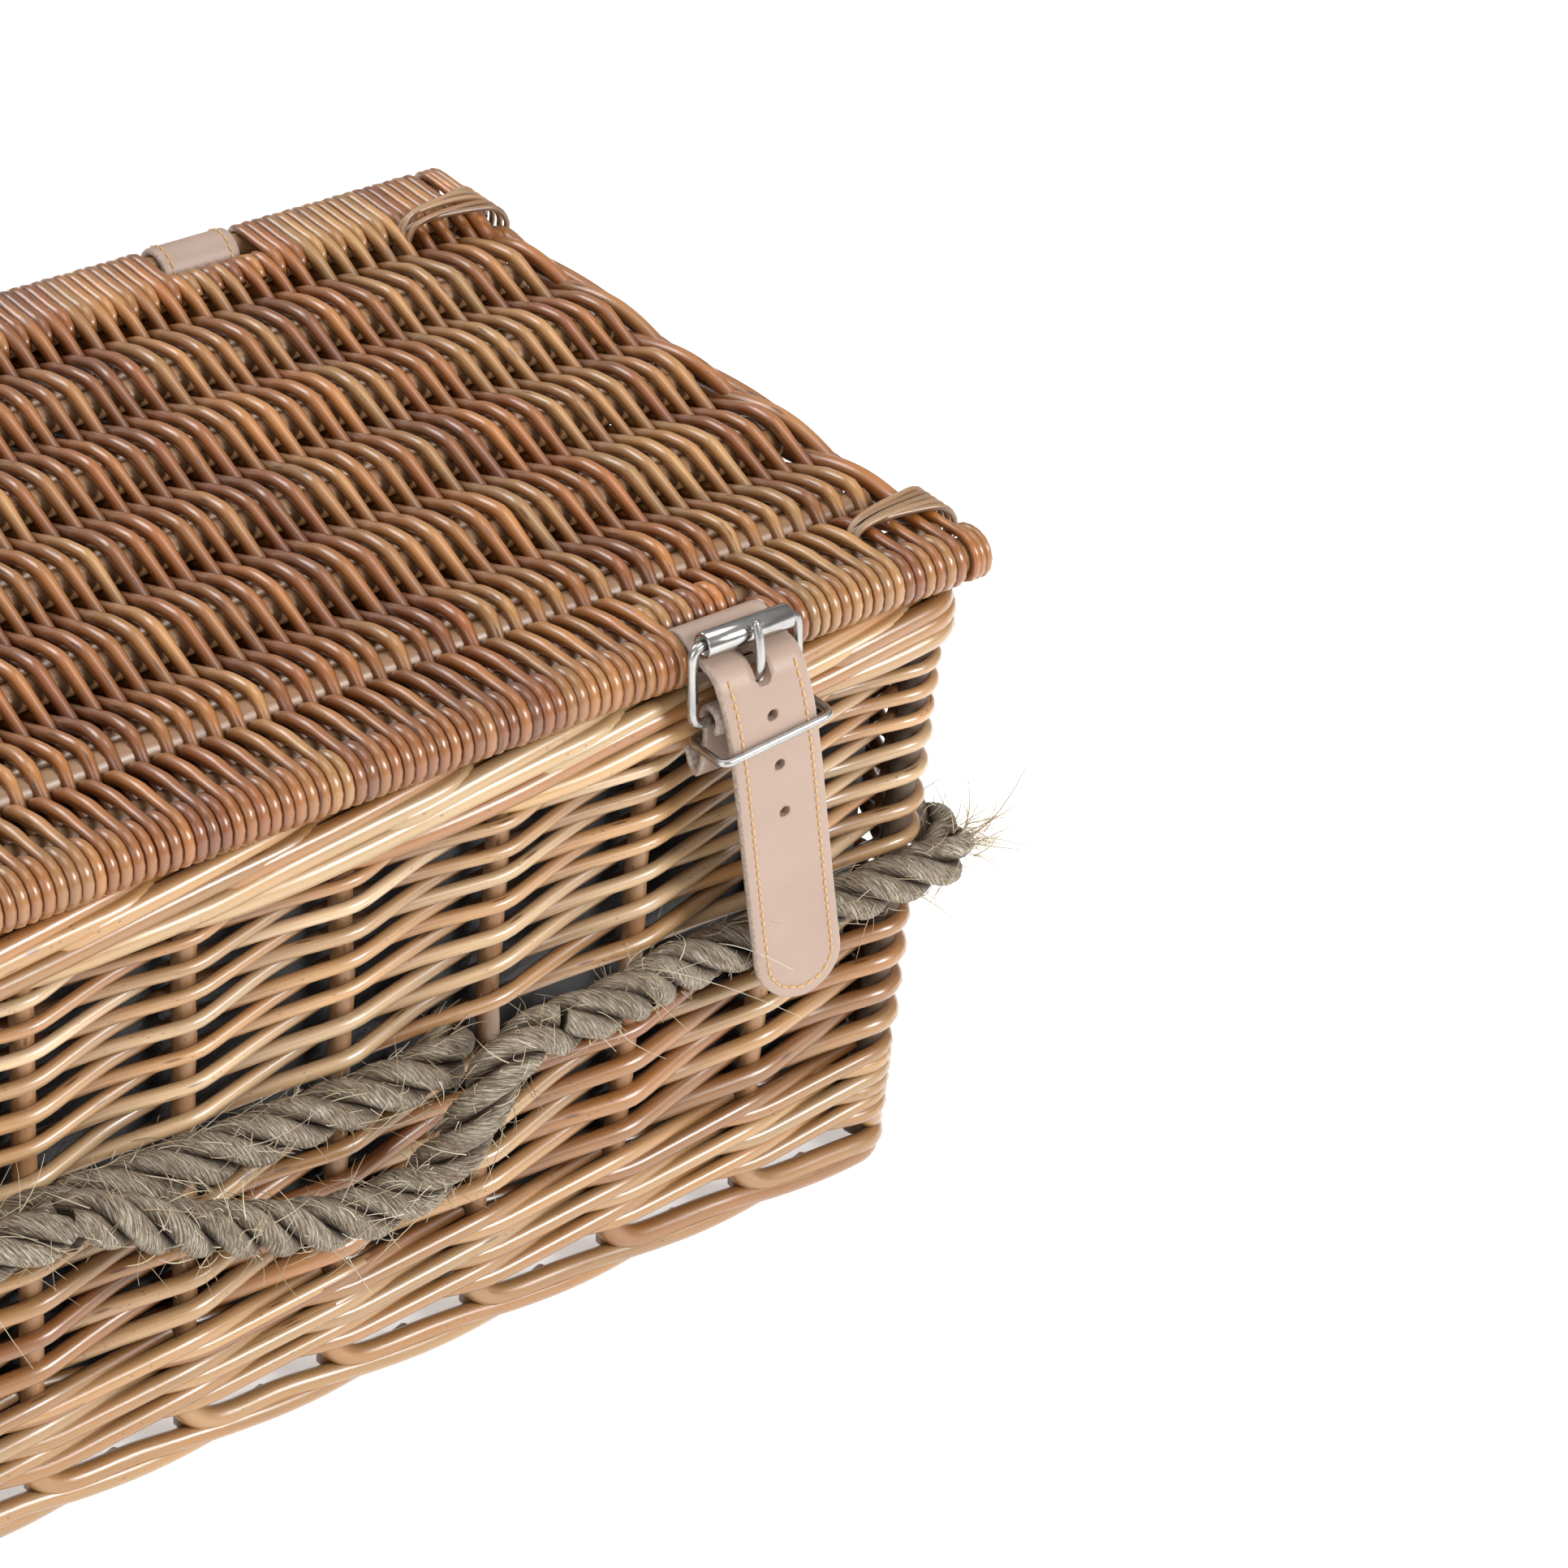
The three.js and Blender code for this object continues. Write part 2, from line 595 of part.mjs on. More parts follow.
// A second pass of the rope lies behind the handle; both its ends dive in between the stakes.
const BACK_RUN = [
  [-84, -105.2, 95.8], [-84, -108, 95.8], [-83, -112, 95.8], [-80, -115.4, 95.8], [-75, -117.4, 95.8],
  [-68, -117.8, 95.8], [-50, -117.8, 95.2], [0, -117.8, 93.2], [30, -117.8, 92.6], [39, -117.4, 92.6],
  [44.6, -115.2, 92.6], [48, -111.6, 92.6], [49, -108, 92.6], [49, -105.2, 92.6],
];

// The handle hangs from two level ends, steeper on the right than on the left.
const HANDLE = [
  [65.6, -130, 101.5], [60.8, -130, 101.8], [55, -130.8, 101], [49.4, -131.4, 98.2], [45.4, -131.6, 92.4],
  [41.6, -131.6, 85.6], [36.4, -131, 78.4], [29.4, -130.2, 72.8], [20.6, -129.4, 70], [10.4, -129, 69.8],
  [0, -129, 72.2], [-10.4, -129.4, 76.2], [-21, -130.2, 81.2], [-32, -131, 86.6], [-43, -131.4, 92.6],
  [-53, -131, 98], [-60.4, -130, 101.4], [-65.6, -130, 101.5],
];

function ropes() {
  add('girdle_rope', rope(girdlePoints()), 'rope');
  add('back_run_rope', rope(BACK_RUN), 'rope');
  add('handle_rope', rope(HANDLE), 'rope');
}

footBorder();
base();
weaveBand('lower_weave', LOWER_WEAVE_Z);
weaveBand('upper_weave', UPPER_WEAVE_Z);
stakesAndBorder();
cornerPosts();
lining();
lid();
lashings();
hingeLoops();
closures();
ropes();

// The origin is on the ground, below the middle of the outer box of everything but the handle.
const box = new THREE.Box3();
model.children.filter((piece) => piece.name !== 'handle_rope').forEach((piece) => box.expandByObject(piece));
model.position.y = -(box.min.y + box.max.y) / 2;

export default model;
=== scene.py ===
"""Willow hamper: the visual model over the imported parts, in metres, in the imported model's frame.

Lengths in the making of the pieces are millimetres on the hamper's own middle lines;
metres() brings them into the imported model's frame.
"""
import math

import bpy
import numpy as np
from mathutils import Matrix, Vector


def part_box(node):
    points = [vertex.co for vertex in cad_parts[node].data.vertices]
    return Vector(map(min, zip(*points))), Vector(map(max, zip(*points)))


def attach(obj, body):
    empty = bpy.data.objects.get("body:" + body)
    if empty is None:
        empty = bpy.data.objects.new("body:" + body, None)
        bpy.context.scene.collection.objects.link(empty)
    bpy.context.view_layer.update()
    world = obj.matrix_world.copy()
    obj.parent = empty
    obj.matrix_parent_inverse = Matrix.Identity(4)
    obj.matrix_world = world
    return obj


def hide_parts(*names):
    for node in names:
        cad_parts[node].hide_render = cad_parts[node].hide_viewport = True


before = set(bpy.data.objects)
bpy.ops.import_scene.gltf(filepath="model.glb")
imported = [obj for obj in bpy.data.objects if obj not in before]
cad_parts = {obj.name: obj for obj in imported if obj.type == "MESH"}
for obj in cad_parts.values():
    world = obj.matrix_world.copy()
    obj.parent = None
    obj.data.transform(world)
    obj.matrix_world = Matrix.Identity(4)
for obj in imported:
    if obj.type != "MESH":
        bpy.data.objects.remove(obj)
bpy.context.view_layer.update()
rng = np.random.default_rng(7)

MM = 0.001
LID_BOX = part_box("lid_weave")
SHIFT_Y = (LID_BOX[0].y + LID_BOX[1].y) / 2
LINING_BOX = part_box("lining")


def metres(points):
    """Points on the hamper's middle lines, in mm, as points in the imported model's frame."""
    placed = np.array(points, float) * MM
    placed[..., 1] += SHIFT_Y
    return placed


def add_object(name, data):
    obj = bpy.data.objects.new(name, data)
    bpy.context.scene.collection.objects.link(obj)
    return obj


# ---------------------------------------------------------------- camera

CAMERA_PLACE = (-0.50809, -0.90040, 0.79715)
CAMERA_YAW, CAMERA_PITCH, CAMERA_ROLL = 39.400, 32.964, 3.197
CAMERA_LENS = 118.006


def make_camera():
    yaw, pitch, roll = (math.radians(a) for a in (CAMERA_YAW, CAMERA_PITCH, CAMERA_ROLL))
    forward = Vector((
        math.sin(yaw) * math.cos(pitch), math.cos(yaw) * math.cos(pitch), -math.sin(pitch)
    ))
    level = Vector((math.cos(yaw), -math.sin(yaw), 0))
    upright = level.cross(forward)
    right = math.cos(roll) * level + math.sin(roll) * upright
    up = math.cos(roll) * upright - math.sin(roll) * level
    data = bpy.data.cameras.new("camera")
    data.lens = CAMERA_LENS
    data.sensor_width = 36
    data.clip_start = 0.05
    camera = add_object("camera", data)
    turn = Matrix((right, up, -forward)).transposed().to_4x4()
    camera.matrix_world = Matrix.Translation(CAMERA_PLACE) @ turn
    bpy.context.scene.camera = camera


make_camera()

# ---------------------------------------------------------------- lines and tubes


def smooth(points, per_span=10, closed=False):
    """A Catmull-Rom line through the points."""
    p = np.array(points, float)
    if closed:
        p = np.vstack([p[-1:], p, p[:2]])
    else:
        p = np.vstack([2 * p[0] - p[1], p, 2 * p[-1] - p[-2]])
    a, b, c, d = p[:-3, None], p[1:-2, None], p[2:-1, None], p[3:, None]
    t = np.linspace(0, 1, per_span, endpoint=False)[None, :, None]
    line = 0.5 * (
        2 * b + (c - a) * t + (2 * a - 5 * b + 4 * c - d) * t**2
        + (3 * b - a - 3 * c + d) * t**3
    )
    line = line.reshape(-1, p.shape[1])
    return line if closed else np.vstack([line, p[-2]])


def crisp(points, blur):
    """Straight runs between the points, with each corner eased over about `blur` mm."""
    line = resample(np.array(points, float), 1.0)
    span = max(1, int(round(blur)))
    for _ in range(2):
        padded = np.vstack([np.repeat(line[:1], span, 0), line, np.repeat(line[-1:], span, 0)])
        for i in range(line.shape[1]):
            line[:, i] = np.convolve(padded[:, i], np.ones(span) / span, "same")[span:-span]
    return line


def lengths_along(line):
    return np.concatenate([[0], np.cumsum(np.linalg.norm(np.diff(line, axis=0), axis=1))])


def resample(line, step, tip=0.0, closed=False):
    """The line at even steps, with closer points over the last `tip` of each end."""
    if closed:
        line = np.vstack([line, line[:1]])
    s = lengths_along(line)
    count = max(2, int(round(s[-1] / step)) + 1)
    at = np.linspace(0, s[-1], count)
    if closed:
        at = at[:-1]
    elif tip:
        near = tip * np.array([0.06, 0.25, 0.55, 1])
        inner = at[(at > tip * 1.2) & (at < s[-1] - tip * 1.2)]
        at = np.concatenate([[0], near, inner, s[-1] - near[::-1], [s[-1]]])
    return np.stack([np.interp(at, s, line[:, i]) for i in range(line.shape[1])], 1)


def frames(line, side=None, closed=False):
    """Unit side and normal at each point: from a fixed side direction, or carried along the line."""
    if closed:
        tangent = np.roll(line, -1, 0) - np.roll(line, 1, 0)
    else:
        tangent = np.gradient(line, axis=0)
    tangent /= np.linalg.norm(tangent, axis=1, keepdims=True) + 1e-12
    if side is not None:
        s = np.broadcast_to(np.array(side, float), line.shape)
        s = s - (s * tangent).sum(1, keepdims=True) * tangent
        s = s / (np.linalg.norm(s, axis=1, keepdims=True) + 1e-12)
    else:
        s = np.empty_like(line)
        start = np.array([0.0, 0.0, 1.0]) if abs(tangent[0][2]) < 0.8 else np.array([1.0, 0.0, 0.0])
        current = np.cross(tangent[0], start)
        for i, t in enumerate(tangent):
            current = current - current.dot(t) * t
            current /= np.linalg.norm(current)
            s[i] = current
    return s, np.cross(tangent, s), tangent


class Bundle:
    """Swept tubes collected into one mesh. Each has its own tone, and a map of length and turn."""

    def __init__(self):
        self.points, self.quads, self.maps, self.tones, self.caps, self.flanks = [], [], [], [], [], []
        self.count = 0

    def tube(self, line, radius, sides=10, tone=None, wide=1.0, side=None, closed=False,
             tip=False, turn=0.0, flank=0.0):
        """radius is across the normal and radius * wide across the side; arrays run along the line.

        flank darkens the two flanks with painted shade, where neighbouring tubes shade each other.
        """
        n = len(line)
        s, normal, _ = frames(line, side, closed)
        r = np.broadcast_to(np.asarray(radius, float), (n,)).copy()
        along = lengths_along(line)
        if tip:
            for gap in (along, along[-1] - along):
                size = r.mean()
                near = gap < size
                r[near] *= np.sqrt(np.clip(1 - (1 - gap[near] / size) ** 2, 0.02, 1))
        w = np.broadcast_to(np.asarray(wide, float), (n,))
        angle = 2 * math.pi * np.arange(sides) / sides + turn
        ring = (
            line[:, None]
            + (r * w)[:, None, None] * np.cos(angle)[None, :, None] * s[:, None]
            + r[:, None, None] * np.sin(angle)[None, :, None] * normal[:, None]
        )
        if tone is None:
            tone = rng.random(3)
        self.grid(ring, along + 400 * float(tone[2]), tone, closed, 1 - flank * np.abs(np.cos(angle)) ** 4)

    def grid(self, ring, along, tone, closed=False, light=1.0):
        n, sides = ring.shape[:2]
        rows = n if closed else n - 1
        i = np.arange(rows)[:, None]
        j = np.arange(sides)[None, :]
        i2, j2 = (i + 1) % n, (j + 1) % sides
        quads = np.stack([i * sides + j, i * sides + j2, i2 * sides + j2, i2 * sides + j], -1)
        step = (along[-1] - along[0]) / max(n - 1, 1)
        u0 = np.broadcast_to(along[:rows, None], (rows, sides))
        u1 = np.broadcast_to(np.append(along, along[-1] + step)[1:rows + 1, None], (rows, sides))
        v0 = np.broadcast_to(j / sides, (rows, sides))
        v1 = v0 + 1 / sides
        maps = np.stack([
            np.stack([u0, v0], -1), np.stack([u0, v1], -1),
            np.stack([u1, v1], -1), np.stack([u1, v0], -1)], 2)
        self.quads.append(quads.reshape(-1, 4) + self.count)
        self.maps.append(maps.reshape(-1, 2))
        self.points.append(ring.reshape(-1, 3))
        self.tones.append(np.broadcast_to(np.asarray(tone, float), (n * sides, 3)))
        self.flanks.append(np.broadcast_to(light, (n, sides)).ravel())
        if not closed:
            first = self.count + np.arange(sides)
            self.caps.append((first[::-1], along[0]))
            self.caps.append((first + (n - 1) * sides, along[-1]))
        self.count += n * sides

    def build(self, name, material, body, slot, nodes=(), shade=None):
        """shade, a function of the points, says how open to the light each point lies, from 0 to 1; with the
        flanks it becomes the shade attribute, which the willow materials paint into the colour as shade.
        """
        drawn = np.concatenate(self.points)
        points = metres(drawn)
        quads = np.concatenate(self.quads)
        maps = np.concatenate(self.maps)
        loops = [quads.reshape(-1)]
        starts = np.arange(len(quads)) * 4
        totals = np.full(len(quads), 4)
        if self.caps:
            sizes = np.array([len(c) for c, _ in self.caps])
            loops.append(np.concatenate([c for c, _ in self.caps]))
            starts = np.concatenate([starts, len(quads) * 4 + np.cumsum(sizes) - sizes])
            totals = np.concatenate([totals, sizes])
            maps = np.concatenate([maps, np.concatenate(
                [np.stack([np.full(len(c), u), np.linspace(0, 1, len(c))], 1) for c, u in self.caps])])
        loops = np.concatenate(loops)
        mesh = bpy.data.meshes.new(name)
        mesh.vertices.add(len(points))
        mesh.vertices.foreach_set("co", points.astype(np.float32).ravel())
        mesh.loops.add(len(loops))
        mesh.loops.foreach_set("vertex_index", loops.astype(np.int32))
        mesh.polygons.add(len(starts))
        mesh.polygons.foreach_set("loop_start", starts.astype(np.int32))
        mesh.polygons.foreach_set("loop_total", totals.astype(np.int32))
        smooth_faces = np.ones(len(starts), bool)
        smooth_faces[len(quads):] = False
        mesh.polygons.foreach_set("use_smooth", smooth_faces)
        mesh.update(calc_edges=True)
        mesh.validate()
        layer = mesh.uv_layers.new(name="along")
        layer.data.foreach_set("uv", maps.astype(np.float32).ravel())
        tone = mesh.attributes.new("tone", "FLOAT_VECTOR", "POINT")
        tone.data.foreach_set("vector", np.concatenate(self.tones).astype(np.float32).ravel())
        light = np.clip(shade(drawn) if shade else 1, 0, 1) * np.concatenate(self.flanks)
        mesh.attributes.new("shade", "FLOAT", "POINT").data.foreach_set("value", light.astype(np.float32))
        return piece(name, mesh, material, body, nodes)


def piece(name, mesh, material, body, nodes=()):
    obj = add_object(name, mesh)
    mesh.materials.clear()
    mesh.materials.append(material)
    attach(obj, body)
    if nodes:
        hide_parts(*nodes)
    return obj


# ---------------------------------------------------------------- materials


def fill_ramp(bar, stops):
    """stops are (place, colour), where a colour is (r, g, b) or (grey,)."""
    while len(bar.elements) < len(stops):
        bar.elements.new(0.5)
    for element, (at, colour) in zip(bar.elements, stops):
        element.position = at
        element.color = (*colour, 1) if len(colour) == 3 else (colour[0],) * 3 + (1,)


class Nodes:
    """A small helper for writing a material's node tree."""

    def __init__(self, name):
        self.material = bpy.data.materials.new(name)
        self.material.use_nodes = True
        self.tree = self.material.node_tree
        self.shader = self.tree.nodes["Principled BSDF"]

    def node(self, kind, inputs=(), **settings):
        n = self.tree.nodes.new(kind)
        for key, value in settings.items():
            setattr(n, key, value)
        for key, value in dict(inputs).items():
            self.put(n.inputs[key], value)
        return n

    def put(self, socket, value):
        if isinstance(value, bpy.types.NodeSocket):
            self.tree.links.new(value, socket)
        else:
            socket.default_value = value

    def set(self, **values):
        for key, value in values.items():
            self.put(self.shader.inputs[key.replace("_", " ")], value)

    def math(self, operation, a, b=0.0, c=0.0, clamp=False):
        n = self.node("ShaderNodeMath", {0: a, 1: b, 2: c}, operation=operation, use_clamp=clamp)
        return n.outputs[0]

    def times(self, a, b, clamp=False):
        return self.math("MULTIPLY", a, b, clamp=clamp)

    def minus(self, a, b, clamp=False):
        return self.math("SUBTRACT", a, b, clamp=clamp)

    def slope(self, a, factor, offset, clamp=False):
        """a * factor + offset"""
        return self.math("MULTIPLY_ADD", a, factor, offset, clamp)

    def noise(self, vector, scale, detail=3.0, rough=0.55):
        return self.node("ShaderNodeTexNoise", {
            "Vector": vector, "Scale": scale, "Detail": detail, "Roughness": rough}).outputs["Fac"]

    def cells(self, vector, scale=1.0):
        """Distance to the nearest of many scattered points."""
        return self.node("ShaderNodeTexVoronoi", {"Vector": vector, "Scale": scale}).outputs["Distance"]

    def scaled(self, vector, size):
        return self.node("ShaderNodeVectorMath", {0: vector, 1: size}, operation="MULTIPLY").outputs[0]

    def ramp(self, fac, stops):
        n = self.node("ShaderNodeValToRGB", {"Fac": fac})
        fill_ramp(n.color_ramp, stops)
        return n.outputs["Color"]

    def mix(self, fac, a, b, blend="MIX"):
        n = self.node("ShaderNodeMix", data_type="RGBA", blend_type=blend)
        for socket, value in ((n.inputs[0], fac), (n.inputs[6], a), (n.inputs[7], b)):
            self.put(socket, (*value, 1) if isinstance(value, tuple) and len(value) == 3 else value)
        return n.outputs[2]

    def tint(self, a, b):
        return self.mix(1.0, a, b, "MULTIPLY")

    def bump(self, height, strength, distance):
        return self.node("ShaderNodeBump", {
            "Height": height, "Strength": strength, "Distance": distance}).outputs["Normal"]

    def attribute(self, name, output="Fac"):
        return self.node("ShaderNodeAttribute", attribute_name=name).outputs[output]

    def object_space(self):
        return self.node("ShaderNodeTexCoord").outputs["Object"]

    def rod_space(self):
        """A seamless vector on each tube: its length in mm, and a circle for its turn."""
        uv = self.node("ShaderNodeUVMap", uv_map="along").outputs[0]
        split = self.node("ShaderNodeSeparateXYZ", {0: uv})
        turn = self.times(split.outputs[1], 2 * math.pi)
        return self.node("ShaderNodeCombineXYZ", {
            0: split.outputs[0], 1: self.math("COSINE", turn), 2: self.math("SINE", turn),
        }).outputs[0], split.outputs[0], split.outputs[1]

    def tone(self):
        """Each rod's own three numbers."""
        return self.node("ShaderNodeSeparateXYZ", {0: self.attribute("tone", "Vector")}).outputs


def willow_marks(m, space, specks):
    """How much of a dark knot or speck, and how much of a scuff, each point has."""
    knots = m.minus(0.135, m.cells(m.scaled(space, (0.045, 0.62, 0.62))), clamp=True)
    knot = m.times(knots, 16 * specks, clamp=True)
    dots = m.minus(0.24, m.cells(m.scaled(space, (0.42, 2.4, 2.4))), clamp=True)
    sparse = m.math("GREATER_THAN", m.noise(m.scaled(space, (0.05, 0.9, 0.9)), 1.3, 1), 0.60)
    dot = m.times(m.times(dots, 9, clamp=True), m.times(sparse, 0.8 * specks))
    rub = m.noise(m.scaled(space, (0.09, 1.1, 1.1)), 1.7, 5, 0.7)
    scuff = m.times(m.minus(rub, 0.66, clamp=True), 4.0 * specks, clamp=True)
    return knot, dot, scuff


def willow(name, colours, dark=(0.13, 0.055, 0.022), gloss=0.36, specks=1.0):
    """Peeled willow: a colour for each rod, streaks along it, dark knots and specks, a soft gloss, and
    painted shade where the shade attribute is low.
    """
    m = Nodes(name)
    space, _, _ = m.rod_space()
    tone = m.tone()
    streaks = m.noise(m.scaled(space, (0.035, 2.2, 2.2)), 1.0, 4)
    blotch = m.noise(m.scaled(space, (0.028, 0.5, 0.5)), 1.0, 2)
    light = m.slope(tone[1], 0.34, 0.80)
    light = m.slope(streaks, 0.42, m.minus(light, 0.21))
    light = m.slope(blotch, 0.40, m.minus(light, 0.20))
    grey = m.node("ShaderNodeCombineColor", {0: light, 1: light, 2: light}).outputs[0]
    colour = m.tint(m.ramp(tone[0], colours), grey)
    warm = m.times(m.minus(blotch, 0.45, clamp=True), 1.6, clamp=True)
    colour = m.mix(warm, colour, m.tint(colour, (1.0, 0.80, 0.62)))
    knot, dot, scuff = willow_marks(m, space, specks)
    colour = m.mix(m.times(scuff, 0.55), colour, dark)
    colour = m.mix(m.times(m.math("MAXIMUM", knot, dot), 0.85), colour, dark)
    # painted shade: the colour is darkened and browned where the shade attribute is low, deep in the weave,
    # on the rods' flanks and at the lid's wrapped edges
    shaded = m.tint(colour, (0.30, 0.20, 0.13))
    colour = m.mix(m.math("POWER", m.attribute("shade"), 0.8), shaded, colour)
    rough = m.slope(streaks, 0.22, m.slope(scuff, 0.25, gloss - 0.1))
    fine = m.noise(m.scaled(space, (0.25, 7.0, 7.0)), 1.0, 3)
    height = m.minus(m.slope(streaks, 0.6, fine), m.times(knot, 0.8))
    m.set(Base_Color=colour, Roughness=rough, Specular_IOR_Level=0.5, Coat_Weight=0.9,
          Coat_Roughness=m.slope(streaks, 0.25, gloss - 0.24), Normal=m.bump(height, 0.35, 0.00022))
    return m.material


LID_COLOURS = [(0.0, (0.450, 0.240, 0.082)), (0.30, (0.440, 0.200, 0.058)), (0.62, (0.408, 0.158, 0.036)),
               (0.85, (0.335, 0.118, 0.026)), (1.0, (0.258, 0.084, 0.019))]
RIM_COLOURS = [(0.0, (0.530, 0.370, 0.195)), (0.35, (0.475, 0.290, 0.128)), (0.70, (0.390, 0.200, 0.070)),
               (1.0, (0.290, 0.122, 0.037))]
# painted light: a paler copy of the rim willow for the upper band, for the brighter light and whiter
# highlights there
UPPER_LIT_COLOURS = [(0.0, (0.660, 0.490, 0.310)), (0.35, (0.585, 0.390, 0.205)), (0.70, (0.470, 0.265, 0.112)),
                 (1.0, (0.340, 0.155, 0.058))]
# painted shade: a darker copy of the rim willow for the lower walls, wale, foot and base
WALL_SHADED_COLOURS = [(0.0, (0.470, 0.306, 0.150)), (0.35, (0.422, 0.240, 0.098)), (0.70, (0.352, 0.168, 0.054)),
                (1.0, (0.265, 0.103, 0.030))]
WILLOW_LID = willow("willow_lid", LID_COLOURS)
WILLOW_WALL_SHADED = willow("willow_wall_shaded", WALL_SHADED_COLOURS)
WILLOW_UPPER_LIT = willow("willow_upper_lit", UPPER_LIT_COLOURS)
WILLOW_RIM = willow("willow_rim", RIM_COLOURS)
STICK = willow("stick_wood", [(0.0, (0.34, 0.18, 0.08)), (1.0, (0.24, 0.12, 0.05))], gloss=0.5, specks=1.4)
CANE = willow("split_cane", [(0.0, (0.40, 0.25, 0.13)), (1.0, (0.27, 0.145, 0.066))], gloss=0.4, specks=1.2)
BARK = willow("post_bark", [(0.0, (0.085, 0.050, 0.026)), (1.0, (0.060, 0.034, 0.018))],
              dark=(0.02, 0.012, 0.008), gloss=0.75, specks=1.5)


def rope_material():
    """Hard-laid hemp: fine yarn lines round each strand with painted shade between the yarns, painted shade
    on the strand sides that face the grooves between strands, a few rusty fibres.
    """
    m = Nodes("rope_hemp")
    space, u, v = m.rod_space()
    dark_fibre_and_groove_shade = (0.085, 0.058, 0.036)
    yarns = m.slope(v, 14.0, m.times(u, -0.40))
    ridge = m.math("ABSOLUTE", m.math("SINE", m.times(yarns, math.pi)))
    hair_space = m.node("ShaderNodeCombineXYZ", {
        0: m.slope(v, 30.0, m.times(u, -0.86)), 1: m.times(u, 0.16), 2: m.tone()[0]}).outputs[0]
    hair = m.noise(hair_space, 2.6, 5, 0.75)
    patch = m.noise(m.scaled(space, (0.10, 0.9, 0.9)), 1.0, 3)
    colour = m.ramp(m.slope(hair, 1.5, m.slope(patch, 0.3, -0.37)), [
        (0.38, dark_fibre_and_groove_shade), (0.50, (0.270, 0.205, 0.138)),
        (0.60, (0.470, 0.392, 0.295)), (0.74, (0.80, 0.73, 0.60))])
    yarn = m.math("POWER", ridge, 0.6)
    # painted shade: the colour darkens towards the dark colour in the hollows between the yarns
    colour = m.mix(m.slope(yarn, -0.5, 0.5, clamp=True), colour, dark_fibre_and_groove_shade)
    rust = m.minus(m.noise(m.scaled(space, (0.05, 0.8, 0.8)), 1.9, 2), 0.64, clamp=True)
    colour = m.mix(m.times(m.times(rust, 5, clamp=True), 0.6), colour, (0.16, 0.062, 0.028))
    # painted shade: each strand's side that faces into the grooves is darkened; open_side is 1 on its outward
    # face
    outward = m.math("COSINE", m.times(v, 2 * math.pi))
    open_side = m.times(m.math("ADD", outward, 0.25), 1.25, clamp=True)
    colour = m.mix(open_side, m.tint(colour, (0.22, 0.17, 0.12)), colour)
    m.set(Base_Color=colour, Roughness=m.slope(hair, 0.3, 0.42), Specular_IOR_Level=0.35,
          Normal=m.bump(m.math("ADD", yarn, m.times(hair, 1.4)), 0.9, 0.0005))
    return m.material


def fibre_material():
    m = Nodes("rope_fibres")
    tone = m.tone()
    colour = m.ramp(tone[0], [
        (0.0, (0.30, 0.22, 0.12)), (0.5, (0.50, 0.41, 0.26)), (1.0, (0.72, 0.66, 0.52))])
    m.set(Base_Color=colour, Roughness=m.slope(tone[1], 0.2, 0.42))
    return m.material


def leather_material():
    """Pale veg-tan leather: fine pores, a slight mottle, and raw paler edges."""
    m = Nodes("leather_pale")
    where = m.object_space()
    mottle = m.noise(where, 55.0, 4)
    cloud = m.noise(where, 16.0, 2)
    colour = m.ramp(m.slope(cloud, 0.5, m.times(mottle, 0.5)), [
        (0.30, (0.345, 0.240, 0.186)), (0.52, (0.380, 0.274, 0.217)), (0.75, (0.415, 0.306, 0.248))])
    edge = m.attribute("edge")
    raw = m.ramp(m.noise(where, 900.0, 3), [(0.35, (0.33, 0.25, 0.20)), (0.65, (0.55, 0.46, 0.39))])
    height = m.slope(m.cells(where, 1500.0), 0.7, m.noise(where, 700.0, 4, 0.6))
    m.set(Base_Color=m.mix(edge, colour, raw), Roughness=m.slope(edge, 0.3, m.slope(mottle, 0.2, 0.36)),
          Specular_IOR_Level=0.45, Normal=m.bump(height, 0.22, 0.00015))
    return m.material


def thread_material():
    m = Nodes("stitch_thread")
    _, u, v = m.rod_space()
    twist = m.math("ABSOLUTE", m.math("SINE", m.slope(v, 2 * math.pi, m.times(u, 7.0))))
    # painted shade: the colour ramp darkens the thread in the hollows between its twisted plies
    colour = m.ramp(twist, [(0.0, (0.30, 0.15, 0.05)), (0.6, (0.60, 0.36, 0.15)), (1.0, (0.70, 0.46, 0.21))])
    m.set(Base_Color=colour, Roughness=m.slope(twist, 0.1, 0.5), Normal=m.bump(twist, 0.4, 0.0001))
    return m.material


def steel_material(name, rough):
    """Nickel-plated steel with faint drawing marks."""
    m = Nodes(name)
    space, _, _ = m.rod_space()
    marks = m.noise(m.scaled(space, (0.5, 5.0, 5.0)), 1.0, 4)
    dull = m.noise(m.scaled(space, (0.1, 0.6, 0.6)), 1.0, 2)
    colour = m.ramp(dull, [(0.3, (0.36, 0.345, 0.33)), (0.7, (0.52, 0.51, 0.49))])
    m.set(Base_Color=colour, Metallic=1.0, Roughness=m.slope(marks, 0.16, rough),
          Normal=m.bump(marks, 0.12, 0.0001))
    return m.material


def lining_material():
    """Dark grey coated cloth: plain weave under a thin shiny film."""
    m = Nodes("lining_cloth")
    where = m.object_space()
    creases = m.noise(where, 30.0, 4, 0.6)
    cloud = m.noise(where, 9.0, 2)
    colour = m.ramp(cloud, [(0.3, (0.030, 0.030, 0.031)), (0.7, (0.075, 0.075, 0.076))])
    m.set(Base_Color=colour, Roughness=m.slope(cloud, 0.25, 0.28),
          Normal=m.bump(m.slope(m.cells(where, 900.0), 0.06, creases), 0.7, 0.0022))
    return m.material


